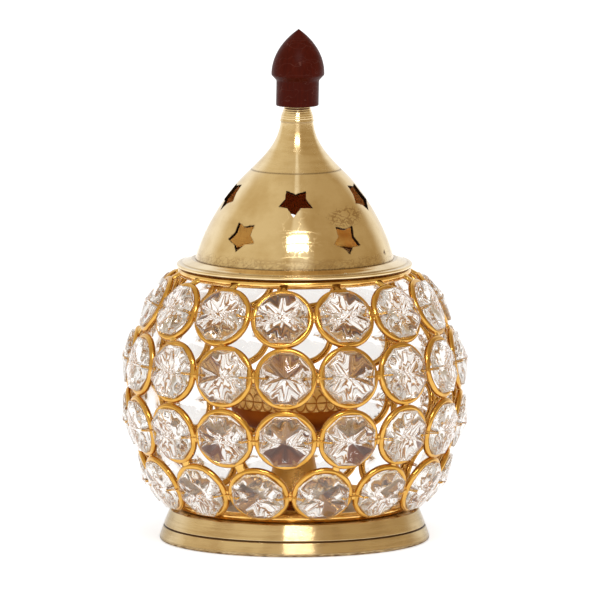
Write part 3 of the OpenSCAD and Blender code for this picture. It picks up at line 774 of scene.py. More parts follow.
def cotton_finish():
    """Soft off-white cotton with fibres along the wick."""
    shaded, lit = (0.62, 0.55, 0.42), (0.86, 0.83, 0.75)
    made, tree, shader = blank("Twisted cotton")
    fibres = noise(tree, stretched(tree, (1.0, 1.0, 0.25)), 5200.0, 4.0)
    inputs = {
        "Base Color": mixed(tree, ranged(tree, fibres, 0.3, 0.7), rgba(shaded), rgba(lit)),
        "Roughness": ranged(tree, fibres, 0.2, 0.8, 0.8, 0.95),
        "Normal": relief(tree, fibres, 0.08),
        "Sheen Weight": 0.4,
    }
    feed(tree, shader, inputs)
    return made


# Settings


def tone(name, description, default):
    """A colour setting."""
    limits = {"min": 0, "max": 1}
    return FloatVectorProperty(name=name, description=description, subtype="COLOR", default=default, **limits)


def share_of_one(name, description, default):
    """A setting from 0 to 1."""
    return FloatProperty(name=name, description=description, default=default, min=0, max=1)


def length_of(name, description, default):
    """A length setting, in metres."""
    return FloatProperty(name=name, description=description, default=default, unit="LENGTH")


def angle_of(name, description, degrees):
    """An angle setting, given in degrees."""
    return FloatProperty(name=name, description=description, default=math.radians(degrees), subtype="ANGLE")


class DiyaFinish(PropertyGroup):
    """Colours and gloss of the lamp's finishes"""

    dome_brass: tone("Dome brass", "Polished brass of the lid", (0.88, 0.70, 0.42))
    dome_dull: tone("Dome tarnish", "Duller patches of the lid", (0.72, 0.53, 0.27))
    dome_roughness: share_of_one("Dome roughness", "Gloss of the lid", 0.075)
    base_brass: tone("Base brass", "Brushed brass of the base", (0.79, 0.61, 0.35))
    base_dull: tone("Base tarnish", "Duller patches of the base", (0.62, 0.44, 0.22))
    base_roughness: share_of_one("Base roughness", "Gloss of the base", 0.2)
    inner_brass: tone("Inner brass", "Cast brass inside the dome", (0.70, 0.40, 0.10))
    inner_dull: tone("Inner tarnish", "Darker patches inside the dome", (0.70, 0.26, 0.035))
    bowl_brass: tone("Bowl brass", "Brass of the bowl and pedestal", (0.60, 0.36, 0.12))
    bowl_dull: tone("Bowl tarnish", "Duller patches of the bowl", (0.48, 0.23, 0.04))
    # A brighter copy of the wire's gold: a painted highlight on the hoops
    hoop_highlight_gold: tone("Hoop gold", "Brighter gold of the hoops", (0.98, 0.64, 0.22))
    wire_gold: tone("Wire gold", "Gold of the rings", (0.74, 0.42, 0.10))
    wire_dull: tone("Wire tarnish", "Darker gold of the wire", (0.62, 0.32, 0.055))
    solder_gold: tone("Solder gold", "Brighter gold of the solder", (0.80, 0.50, 0.14))
    crystal: tone("Crystal", "Cast of the clear beads", (0.928, 0.910, 0.888))
    # Colour of the beads' painted glow
    crystal_painted_glow: tone("Crystal milk", "Light scattered inside the beads", (1.0, 0.90, 0.80))
    crystal_ior: FloatProperty(
        name="Crystal IOR", description="Bending of light in the beads", default=1.52, min=1
    )
    knob_red: tone("Knob red", "Lighter red-brown of the knob", (0.070, 0.0060, 0.0014))
    knob_dark: tone("Knob dark", "Darker red-brown of the knob", (0.053, 0.0044, 0.0011))


class DiyaMaking(PropertyGroup):
    """Sizes of the handwork"""

    bead_lean: angle_of("Bead lean", "How far a bead may lean in its ring", 3.4)
    bead_bevel: length_of("Bead edge", "Width of the worn edges of a bead", 0.00008)
    tie_d: length_of("Tie wire", "Thickness of the binding wire", 0.00026)
    star_wander: length_of("Star wander", "Unevenness of the sawn stars", 0.00018)
    scale_count: IntProperty(name="Scales", description="Engraved scales round the bowl", default=36, min=8)
    scale_depth: length_of("Scale depth", "Depth of the engraving", 0.00014)
    lid_lean: angle_of("Lid lean", "Lean of the dome and knob", 1.05)
    wick_strands: IntProperty(
        name="Wick strands", description="Strands of the twisted wick", default=3, min=2
    )


class DiyaStudio(PropertyGroup):
    """Camera, light and floor"""

    camera_distance: length_of("Distance", "Camera to the lamp's axis", 4.0)
    camera_height: angle_of("Elevation", "Camera angle above the level", 7.5)
    lens: FloatProperty(name="Lens", description="Focal length", default=882.3, subtype="DISTANCE_CAMERA")
    key_power: FloatProperty(
        name="Front panels", description="Power of the front lights", default=21.0, unit="POWER"
    )
    room_left: tone("Room, left", "What the metal mirrors at the left", (0.75, 0.66, 0.48))
    room_front: tone("Room, front", "Pale streak that the metal mirrors in front", (0.92, 0.88, 0.80))
    room_right: tone("Room, right", "What the metal mirrors at the right", (0.50, 0.39, 0.23))
    bent: tone("Bead tone", "What the crystal bends in from the front and sides", (0.44, 0.35, 0.24))
    fill: FloatProperty(name="Fill", description="Light from all round", default=0.8, min=0)


# Pieces


class DIYA_OT_base(Operator):
    """Turned base with a groove darkened by painted shade, a rounded foot and a hollow underside"""

    bl_idname = "diya.base"
    bl_label = "Base"

    def execute(self, context):
        flare, height = FOOT_R - LEDGE_R, BASE_H - FOOT_ROUND
        swell, burr, clear = 0.12, 0.09, 0.1
        side = cubic(
            (FOOT_R, FOOT_ROUND),
            (FOOT_R - flare / 3 + swell, FOOT_ROUND + height / 3),
            (FOOT_R - flare * 2 / 3 + swell, FOOT_ROUND + height * 2 / 3),
            (LEDGE_R, BASE_H),
            24,
        )
        at = np.interp(GROOVE_Z, side[:, 1], side[:, 0])
        low = side[side[:, 1] < GROOVE_Z - GROOVE_W / 2 - clear]
        high = side[side[:, 1] > GROOVE_Z + GROOVE_W / 2 + clear]
        cut = [
            (at + burr, GROOVE_Z - GROOVE_W / 2),
            (at - GROOVE_DEPTH, GROOVE_Z - GROOVE_W * 0.3),
            (at - GROOVE_DEPTH, GROOVE_Z + GROOVE_W * 0.3),
            (at - burr, GROOVE_Z + GROOVE_W / 2),
        ]
        inner, under, top = REGISTER_R - REGISTER_WALL, BASE_H - BASE_WALL, BASE_H + REGISTER_H
        corners = [(BASE_BORE_R, under), (LEDGE_R - BASE_WALL, under)]
        corners += [(FOOT_R - BASE_WALL - FOOT_ROUND, 0), (FOOT_R - FOOT_ROUND, 0), (FOOT_R - 0.1, 0.25)]
        corners += [*low, *cut, *high, (REGISTER_R, BASE_H), (REGISTER_R, top)]
        corners += [(inner, top), (inner, BASE_H), (BASE_BORE_R, BASE_H)]
        profile = rounded(corners, 0.22)
        r, z = profile.T
        groove_shade, ledge_shadow, foot_dirt, speck_share = 0.92, 0.35, 0.35, 0.4
        # Painted shade in the groove
        in_groove = (np.abs(z - GROOVE_Z) < GROOVE_W * 0.42) & (r > REGISTER_R) & (r < at - 0.02)
        # Painted shadow of the hoop and cage on the ledge and the register inside it
        on_ledge = (z > BASE_H - 0.02) & (r < LEDGE_R - 1.5)
        dirt_and_shade = np.maximum(groove_shade * in_groove, ledge_shadow * on_ledge)
        edge = np.clip((1.3 - z) / 0.9, 0, 1) * (r > FOOT_R - 1.4)
        draw = np.random.default_rng(BASE_SEED).random((len(profile), BASE_SEGMENTS))
        specks = np.where(draw > 1 - speck_share, 1.0, foot_dirt)
        dirt_and_shade = np.maximum(dirt_and_shade[:, None], edge[:, None] * specks)
        mesh = mesh_from("turned_base", *turned(profile, BASE_SEGMENTS), {"dirt_and_shade": dirt_and_shade})
        piece(mesh, "stand", "base_brass", "base", base_finish())
        return {"FINISHED"}


def scale_lines(u, z, groove):
    """How near a point lies to an engraved line, from 0 to 1. Each line is half an ellipse, one step of u
    wide, where f = hypot(x, w / height) - 1 is nought: a row of petals hangs below the groove, and rows of
    scales stand above it, each half a step on from the row below and hidden inside it."""
    petal_h, scale_h, scale_step, scale_rows = 2.3, 2.2, 1.7, 3
    petal_line, scale_line, groove_line = 0.11, 0.09, 0.15
    w = z - groove

    def ellipse(row, foot, height):
        """The value of f for a row whose ellipses have their middles at the foot."""
        return np.hypot(2 * np.abs((u + 0.5 * row) % 1 - 0.5), (w - foot) / height) - 1

    def near(distance, width):
        """1 on a line, falling off as a bell over its width."""
        return np.exp(-((distance / width) ** 2))

    line = np.where(w < 0, near(ellipse(0, 0, petal_h), petal_line), 0)
    free = w > 0
    for row in range(scale_rows):
        edge = ellipse(row, scale_step * row, scale_h)
        line = np.where(free, np.maximum(line, near(edge, scale_line)), line)
        free &= edge > 0
    return np.maximum(line, near(w, groove_line))


class DIYA_OT_bowl(Operator):
    """Oil bowl with an engraved band, on its trumpet pedestal"""

    bl_idname = "diya.bowl"
    bl_label = "Bowl and pedestal"

    def execute(self, context):
        collar = RIM_Z - BOWL_DEPTH
        self.bowl(context.scene.diya_making, collar)
        self.pedestal(collar)
        return {"FINISHED"}

    def bowl(self, making, collar):
        """The bowl with its spigot, its band cut by the engraved lines."""
        band, floor, inner = RIM_Z - BOWL_BAND, collar + FLOOR_RISE, BOWL_R - BOWL_WALL
        draft, groove_rise, plain_top = 0.3, 2.5, 0.7
        spigot = [(0, collar - SPIGOT_L), (SPIGOT_R, collar - SPIGOT_L)]
        spigot += [(SPIGOT_R, collar + SEAT), (COLLAR_R, collar + SEAT)]
        belly = cubic(
            (COLLAR_R, collar + 1.1),
            (COLLAR_R + 6, collar + 1.0),
            (BOWL_R - 0.6, collar + 2.6),
            (BOWL_R - draft, band),
            24,
        )
        z = np.linspace(band, RIM_Z - 0.35, 66)[1:]
        upright = np.stack([BOWL_R - draft * (RIM_Z - z) / BOWL_BAND, z], -1)
        lip = [(BOWL_R - 0.08, RIM_Z - 0.12), (BOWL_R - 0.35, RIM_Z)]
        lip += [(inner + 0.25, RIM_Z), (inner, RIM_Z - 0.25)]
        hollow = cubic(
            (inner - 0.3, band + 1),
            (inner - 0.6, floor + 2.5),
            (FLOOR_R + 3.5, floor + 0.2),
            (FLOOR_R, floor),
            24,
        )
        profile = np.concatenate([spigot, belly, upright, lip, hollow, [(0, floor)]])
        first = len(spigot) + len(belly)
        zone = slice(first, first + len(upright))
        points, faces = turned(profile, BOWL_SEGMENTS, closed=False)
        shaped = points.reshape(len(profile), BOWL_SEGMENTS, 3)
        u = np.arange(BOWL_SEGMENTS)[None, :] / BOWL_SEGMENTS * making.scale_count
        line = scale_lines(u, z[:, None] + 0 * u, band + groove_rise)
        line *= np.clip((RIM_Z - plain_top - z) / 0.3, 0, 1)[:, None]
        shrink = 1 - line * making.scale_depth / MM / BOWL_R
        shaped[zone, :, :2] *= shrink[..., None]
        line_dirt, belly_shade = 0.9, 0.95
        dirt_and_shade = np.zeros((len(profile), BOWL_SEGMENTS))
        dirt_and_shade[zone] = line_dirt * line
        # Painted shade over the underside of the bowl and its spigot
        dirt_and_shade[:first] = belly_shade
        mesh = mesh_from("engraved_bowl", shaped.reshape(-1, 3), faces, {"dirt_and_shade": dirt_and_shade}, 50)
        piece(mesh, "stand", "bowl_brass", "oil_bowl", bowl_finish())

    def pedestal(self, collar):
        """The trumpet pedestal with its stud below and its socket for the bowl above."""
        low = BASE_H + SEAT
        stud = [(0, STUD_Z), (STUD_R - STUD_CHAMFER, STUD_Z), (STUD_R, STUD_Z + STUD_CHAMFER)]
        stud += [(STUD_R, low), (PEDESTAL_FOOT_R, low)]
        trumpet = cubic(
            (PEDESTAL_FOOT_R, low + 1),
            (PEDESTAL_FOOT_R * 0.52, low + 2.2),
            (WAIST_R + 0.9, low + (collar - low) * 0.45),
            (WAIST_R, collar - 2),
            30,
        )
        top = [(COLLAR_R, collar - 1.2), (COLLAR_R, collar), (SOCKET_R, collar)]
        top += [(SOCKET_R, collar - SOCKET_DEPTH), (0, collar - SOCKET_DEPTH)]
        profile = rounded(np.concatenate([stud, trumpet, top]), 0.15)
        # A darker band at the step under the bowl's collar
        dirt_and_shade = np.clip(0.5 - np.abs(profile[:, 1] - collar + 1.9) / 0.8, 0, 0.5)
        painted_on = {"dirt_and_shade": np.repeat(dirt_and_shade, PEDESTAL_SEGMENTS)}
        mesh = mesh_from("trumpet_pedestal", *turned(profile, PEDESTAL_SEGMENTS, closed=False), painted_on)
        piece(mesh, "stand", "bowl_brass", "pedestal", bowl_finish())


class DIYA_OT_wick(Operator):
    """Wick of twisted cotton strands with a frayed tip"""

    bl_idname = "diya.wick"
    bl_label = "Cotton wick"

    def execute(self, context):
        strands = context.scene.diya_making.wick_strands
        strand_r, twists, fray_start, inset = 0.78, 3.2, 0.86, 0.05
        low, high = (p.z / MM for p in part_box("cotton_wick"))
        t = np.linspace(0, 1, WICK_STEPS)[None, :]
        turn = FULL_TURN * (np.arange(strands)[:, None] / strands + twists * t)
        fray = np.clip((t - fray_start) / (1 - fray_start), 0, 1)
        spread = strand_r * (1 - 0.75 * fray**1.5)
        height = low + inset + (high - low - 2 * inset) * t + 0 * turn
        path = np.stack([spread * np.cos(turn), spread * np.sin(turn), height], -1)
        width = np.stack([np.cos(turn), np.sin(turn), 0 * turn], -1)
        depth = np.cross(unit(np.gradient(path, axis=1)), width)
        thick = strand_r * (1 - 0.8 * fray**2)
        lumps = 1 + 0.05 * np.sin(5 * round_angles(WICK_SIDES) + 40 * t[..., None])
        radius = (thick[..., None] * lumps)[..., None]
        shape = swept(path, width, depth, radius, WICK_SIDES, wrap=False)
        mesh = mesh_from("twisted_wick", *shape, crease=80)
        piece(mesh, "wick_insert", "cotton", "cotton_wick", cotton_finish())
        return {"FINISHED"}


class DIYA_OT_cage_wire(Operator):
    """Hoops and bead rings of gold wire, each ring a little out of round"""

    bl_idname = "diya.cage_wire"
    bl_label = "Hoops and rings"

    def execute(self, context):
        more = (HOOP_SEEN - HOOP_WIRE) / 2
        self.hoop("top", TOP_HOOP_R, TOP_HOOP_Z - more)
        self.hoop("bottom", BOTTOM_HOOP_R, HOOP_Z + more)
        rng = np.random.default_rng(WIRE_SEED)
        for row in ROWS:
            self.rings(row, rng)
        return {"FINISHED"}

    def hoop(self, name, radius, height):
        """A circle of wire turned about the lamp's axis."""
        b = round_angles(HOOP_SIDES)
        profile = np.stack([radius + HOOP_SEEN / 2 * np.cos(b), height + HOOP_SEEN / 2 * np.sin(b)], -1)
        mesh = mesh_from(f"{name}_wire_hoop", *turned(profile, HOOP_SEGMENTS))
        piece(mesh, "cage", "gold_wire", f"{name}_hoop", hoop_finish())

    def rings(self, row, rng):
        """A row's rings: at angle a the wire's middle lies at R (1 + small sin 2a + smaller sin 3a), and it
        lifts out of its plane by a small sin 2a."""
        axes, centres = ring_frames(row)
        n = len(centres)
        a, b = round_angles(RING_STEPS), round_angles(RING_SIDES)
        turn = rng.uniform(0, FULL_TURN, (3, n, 1))
        oval = 1 + 0.006 * np.sin(2 * a + turn[0]) + 0.003 * np.sin(3 * a + turn[1])
        lift = 0.07 * np.sin(2 * a + turn[2])
        r = ((RING_R + RING_GROWN) * oval)[..., None] + RING_SEEN / 2 * np.cos(b)
        z = lift[..., None] + RING_SEEN / 2 * np.sin(b)
        local = np.stack([r * np.cos(a)[:, None], r * np.sin(a)[:, None], z], -1)
        points = placed(local.reshape(n, -1, 3), axes, centres).reshape(local.shape)
        mesh = mesh_from(f"bead_rings_{row + 1}", *tubes(points, True))
        piece(mesh, "cage", "gold_wire", f"wire_rings_row_{row + 1}", wire_finish())


class DIYA_OT_solder(Operator):
    """Solder webs between neighbouring rings, between the rows and to the hoops"""

    bl_idname = "diya.solder"
    bl_label = "Solder"

    def execute(self, context):
        frames = [ring_frames(row) for row in ROWS]
        for row, ring in enumerate(frames):
            follow = tuple(np.roll(part, -1, 0) for part in ring)
            ends = on_wire(*ring, follow[1]), on_wire(*follow, ring[1])
            shape = self.between(ring, follow, ends, SIDE_WEB, SIDE_WEB_SEED + row)
            self.solder(f"ring_solder_{row + 1}", shape, f"solder_row_{row + 1}")
        for name, low, high in (("upper", 0, 1), ("middle", 2, 1), ("lower", 3, 2)):
            ring = frames[low]
            nearest = np.linalg.norm(ring[1][:, None] - frames[high][1][None], axis=-1).argmin(1)
            other = tuple(part[nearest] for part in frames[high])
            start = on_wire(*ring, on_wire(*other, ring[1]))
            ends = start, on_wire(*other, start)
            shape = self.between(ring, other, ends, ROW_WEB, ROW_WEB_SEED + low)
            self.solder(f"row_solder_{name}", shape, f"row_bridges_{name}")
        for name, row, r, z in (("top", 0, TOP_HOOP_R, TOP_HOOP_Z), ("bottom", 3, BOTTOM_HOOP_R, HOOP_Z)):
            ring = frames[row]
            hoop = unit(ring[1] * [1, 1, 0]) * r + [0, 0, z]
            start = on_wire(*ring, hoop)
            ways = self.tangent(ring, start), np.cross([0, 0, 1], hoop) / r
            bends = RING_R, NEARLY_STRAIGHT
            shape = fillets(start, hoop, ways, bends, HOOP_WEB, HOOP_WEB_THICK, HOOP_WEB_SEED + row)
            self.solder(f"{name}_hoop_solder", shape, f"{name}_hoop_bridges")
        return {"FINISHED"}

    def tangent(self, ring, spot):
        """Direction of a ring's wire at a spot on it: the ring's outward axis crossed with the spoke."""
        return np.cross(ring[0][:, 2], spot - ring[1]) / RING_R

    def between(self, ring, other, ends, widths, seed):
        """Webs from each ring to another ring."""
        ways = self.tangent(ring, ends[0]), self.tangent(other, ends[1])
        return fillets(*ends, ways, (RING_R, RING_R), widths, WEB_THICK, seed)

    def solder(self, name, shape, node):
        """A piece of solder webs."""
        piece(mesh_from(name, *shape, crease=80), "cage", "solder", node, solder_finish())


def bead_face(r):
    """Height of a bead's sloping face at a distance r from its middle, towards a facet corner: it falls
    evenly from half the thickness."""
    half, edge = BEAD_T / 2, BEAD_EDGE / 2
    return half - (half - edge) * r * math.cos(OCTAGON_HALF) / BEAD_CORNER_R


def bead_shape():
    """One faceted bead: a point on each side, a ring of facet corners at 45 degree steps, and two rings of
    edge corners half a step on, joined as kites and triangles."""
    half, edge = BEAD_T / 2, BEAD_EDGE / 2
    step = np.radians(45 * np.arange(8))
    facet_r = BEAD_AF / 2 * BEAD_FACET
    facet_z = bead_face(facet_r)

    def ring(r, z, first):
        """Eight points round the bead's axis."""
        return np.stack([r * np.cos(step + first), r * np.sin(step + first), z + 0 * step], -1)

    points = np.concatenate(
        [
            ring(facet_r, facet_z, 0),
            ring(BEAD_CORNER_R, edge, OCTAGON_HALF),
            ring(BEAD_CORNER_R, -edge, OCTAGON_HALF),
            ring(facet_r, -facet_z, 0),
            [[0, 0, half], [0, 0, -half]],
        ]
    )
    i = np.arange(8)
    n = (i + 1) % 8
    kites = np.concatenate(
        [
            np.stack([0 * i + 32, i, i + 8, n], -1),
            np.stack([i + 8, i + 16, n + 16, n + 8], -1),
            np.stack([0 * i + 33, n + 24, i + 16, i + 24], -1),
        ]
    )
    sides = np.concatenate([np.stack([n, i + 8, n + 8], -1), np.stack([n + 24, n + 16, i + 16], -1)])
    return points, kites, sides


class DIYA_OT_beads(Operator):
    """Faceted crystal beads with worn edges and two drilled holes, each leaning a little in its ring"""

    bl_idname = "diya.beads"
    bl_label = "Crystal beads"

    def execute(self, context):
        making = context.scene.diya_making
        points, total, index, drilled = self.bead(making.bead_bevel)
        rng = np.random.default_rng(BEAD_SEED)
        most = making.bead_lean
        finishes = [crystal_finish(), drilled_finish()]
        for row in ROWS:
            axes, centres = ring_frames(row)
            n = len(centres)
            lean = rng.normal(0, most * 0.5, (n, 3)).clip(-most, most)
            local = np.broadcast_to(points, (n, len(points), 3))
            local = local + np.cross(lean[:, None], local) + [0, 0, BEAD_OUT]
            spots = placed(local, axes, centres).reshape(-1, 3)
            number = (index[None] + len(points) * np.arange(n)[:, None]).ravel()
            name = f"crystal_beads_{row + 1}"
            mesh = ngon_mesh(name, spots, np.tile(total, n), number, np.tile(drilled, n))
            piece(mesh, "cage", "crystal", f"crystals_row_{row + 1}", *finishes)
        return {"FINISHED"}

    def bead(self, edge_width):
        """Points, face sizes and corner indices of one bead with worn edges and drilled holes, and which of
        its faces are the holes' walls."""
        points, kites, sides = bead_shape()
        mesh = bpy.data.meshes.new("bead")
        mesh.from_pydata((points * MM).tolist(), [], kites.tolist() + sides.tolist())
        face_outwards(mesh)
        bead = loose("bead", mesh)
        bevel = bead.modifiers.new("Worn edges", "BEVEL")
        bevel.width = edge_width
        bevel.segments = 1
        bevel.angle_limit = math.radians(4)
        a = round_angles(HOLE_SIDES)
        outline = np.stack([HOLE_D / 2 * np.cos(a), HOLE_D / 2 * np.sin(a)], -1)
        drills = []
        for side in (-HOLE_OFFSET, HOLE_OFFSET):
            ends = [np.column_stack([outline + [side, 0], np.full(len(a), z)]) for z in (-BEAD_T, BEAD_T)]
            drills.append(np.concatenate(ends))
        cut_by(bead, "drilled_holes", drills)
        points, total, index, normal = evaluated(bead)
        x, y = face_means(points, total, index).T[:2]
        drilled = np.hypot(np.abs(x) - HOLE_OFFSET, y) < HOLE_D / 2 * 0.999
        drilled &= np.abs(normal[:, 2]) < 0.3
        return points, total, index, drilled


class DIYA_OT_ties(Operator):
    """Binding wires: two slack strands through the facing holes of each pair of beads"""

    bl_idname = "diya.ties"
    bl_label = "Binding wires"

    def execute(self, context):
        radius = context.scene.diya_making.tie_d / MM / 2
        rng = np.random.default_rng(TIE_SEED)
        for row in ROWS:
            path, side = self.paths(row, rng)
            along = unit(np.roll(path, -1, 1) - np.roll(path, 1, 1))
            depth = unit(np.cross(along, np.broadcast_to(side[:, None], path.shape)))
            shape = swept(path, np.cross(depth, along), depth, radius, TIE_SIDES)
            mesh = mesh_from(f"binding_wires_{row + 1}", *shape, crease=80)
            piece(mesh, "cage", "gold_wire", f"binding_wires_row_{row + 1}", wire_finish())
        return {"FINISHED"}

    def paths(self, row, rng):
        """Closed curves of a row's strands, two for each pair of beads, and the direction beside each. A
        strand comes forward through one hole, sags across the front, goes back through the other hole and
        returns behind the solder."""
        apart, bend, behind = 0.17, 0.8, 0.3
        axes, centres = ring_frames(row)
        n = len(centres)
        following = np.roll(np.arange(n), -1)
        left = centres + axes[:, 0] * HOLE_OFFSET + axes[:, 2] * BEAD_OUT
        right = (centres - axes[:, 0] * HOLE_OFFSET + axes[:, 2] * BEAD_OUT)[following]
        h = np.linalg.norm(right - left, axis=1, keepdims=True) / 2
        u = unit(right - left)
        v = axes[:, 2] + axes[following, 2]
        v = unit(v - u * np.sum(u * v, 1, keepdims=True))
        side = np.cross(u, v)
        middle = (left + right) / 2
        wire = on_wire(axes, centres, centres[following])
        back = np.sum((wire - middle) * v, 1, keepdims=True) - RING_WIRE / 2 - behind
        strands = []
        for shift in (-apart, apart):
            sag = rng.uniform(-0.35, 0.05, (n, 1))
            front = bead_face(HOLE_OFFSET) + 0.12 + rng.uniform(0, 0.12, (n, 1))
            knots = [
                (-h, back),
                (-h, 0 * h),
                (-h, front * 0.9),
                (bend - h, front),
                (-h * 0.35, sag + 0.25),
                (0 * h, sag),
                (h * 0.35, sag + 0.2),
                (h - bend, front),
                (h, front * 0.9),
                (h, 0 * h),
                (h, back),
                (h * 0.4, back),
                (-h * 0.4, back),
            ]
            across, out = (np.concatenate(part, 1)[..., None] for part in zip(*knots))
            drift = rng.uniform(-0.12, 0.12, (n, len(knots)))[..., None] + shift
            turns = across * u[:, None] + out * v[:, None] + drift * side[:, None]
            strands.append(middle[:, None] + spline(turns, TIE_STEPS))
        return np.concatenate(strands), np.concatenate([side, side])


def dome_profile(steps):
    """Outer side of the dome: one cubic curve from its foot to the seam, heights above the foot."""
    return cubic(
        (DOME_FOOT_R, 0),
        (DOME_FOOT_R - 1.4, DOME_H * 0.27),
        (SEAM_R + 6.8, DOME_H * 0.762),
        (SEAM_R, DOME_H),
        steps,
    )


def dome_tilt(side, height):
    """Angle above the level of the dome's outward normal at a height: the arctangent of -dr/dz."""
    return np.arctan(-np.interp(height, side[:, 1], np.gradient(side[:, 0], side[:, 1])))


def leaned(points, lean):
    """Points of the lid with its lean: x grows by the lean times the height above the dome's foot."""
    return points + (lean * np.clip(points[:, 2:] - FOOT_Z, 0, None)) * [1, 0, 0]


# Outlines of the stars that face the photograph and of the one behind them, from the lowest point round to
# the right, points and notches in turn
SAWN = {
    0: [
        *[(-0.5, -4.9), (1.4, -2.1), (4.7, -1.9), (2.8, 0.8), (2.7, 3.2)],
        *[(-0.1, 2.2), (-2.5, 3.4), (-2.9, 0.8), (-4.6, -1.4), (-2.3, -2)],
    ],
    5: [
        *[(-0.3, -4.8), (1, -2.9), (3.9, -2.4), (2.3, 0.2), (2.8, 3.2)],
        *[(0, 2.4), (-2.8, 3.3), (-2.6, 0.6), (-4.4, -1.4), (-2, -2.8)],
    ],
    7: [
        *[(0.1, -5.5), (1.6, -3.4), (4.2, -2.6), (2.6, -0.4), (2.6, 2.3)],
        *[(0, 1.4), (-2.6, 2.4), (-2.6, -0.3), (-4.2, -2.5), (-1.6, -3.4)],
    ],
    9: [
        *[(-1.1, -4.2), (1.1, -2), (3.9, -1.3), (2.2, 0.9), (2.4, 3.8)],
        *[(-0.4, 3.1), (-2.9, 4.2), (-3.1, 1.4), (-5, -0.7), (-2.2, -2.2)],
    ],
}
# Heights of the two rows of stars above the dome's foot, and the angle of each row's first star
STAR_ROWS = ((17.7, 0.0), (8.0, 36.0))
STARS_IN_ROW, STAR_POINTS, STAR_R, STAR_NOTCH, STAR_REACH = 5, 5, 4.8, 0.62, 5
# One side star stands fewer degrees round than its even place
TURNED_STAR, TURNED_BY = 4, 5


def star_outline(number, rng, wander):
    """Outline of a star: five points with one down, sawn a little unevenly. Each side between a point and a
    notch is divided into four, and every place on it wanders a little."""
    angle = np.radians(36 * np.arange(2 * STAR_POINTS) - 90 + rng.normal(0, 3))
    notch = rng.normal(STAR_NOTCH, 0.05, STAR_POINTS)
    reach = STAR_R * np.stack([np.ones(STAR_POINTS), notch], -1).ravel()
    reach = reach + rng.normal(0, wander, 2 * STAR_POINTS)
    even = np.stack([reach * np.cos(angle), reach * np.sin(angle)], -1)
    outline = np.array(SAWN.get(number, even))
    t = np.linspace(0, 1, 4, endpoint=False)[None, :, None]
    outline = (outline[:, None] * (1 - t) + np.roll(outline, -1, 0)[:, None] * t).reshape(-1, 2)
    return outline + rng.normal(0, wander * 0.25, outline.shape)


def star_cutters(rng, wander):
    """Prisms along the dome's normal, one for each star, from inside the wall to outside it."""
    side = dome_profile(200)
    prisms = []
    for height, first in STAR_ROWS:
        r = np.interp(height, side[:, 1], side[:, 0])
        lean = dome_tilt(side, height)
        for k in range(STARS_IN_ROW):
            number = len(prisms)
            a = math.radians(first + 72 * k - (TURNED_BY if number == TURNED_STAR else 0))
            out = np.array([math.sin(a), -math.cos(a), 0])
            normal = out * math.cos(lean) + np.array([0, 0, math.sin(lean)])
            along = np.array([math.cos(a), math.sin(a), 0])
            outline = star_outline(number, rng, wander)
            flat = outline[:, :1] * along + outline[:, 1:] * np.cross(normal, along)
            centre = out * r + [0, 0, FOOT_Z + SEAT + height]
            ends = [centre + flat - STAR_REACH * normal, centre + flat + STAR_REACH * normal]
            prisms.append(np.concatenate(ends))
    return prisms


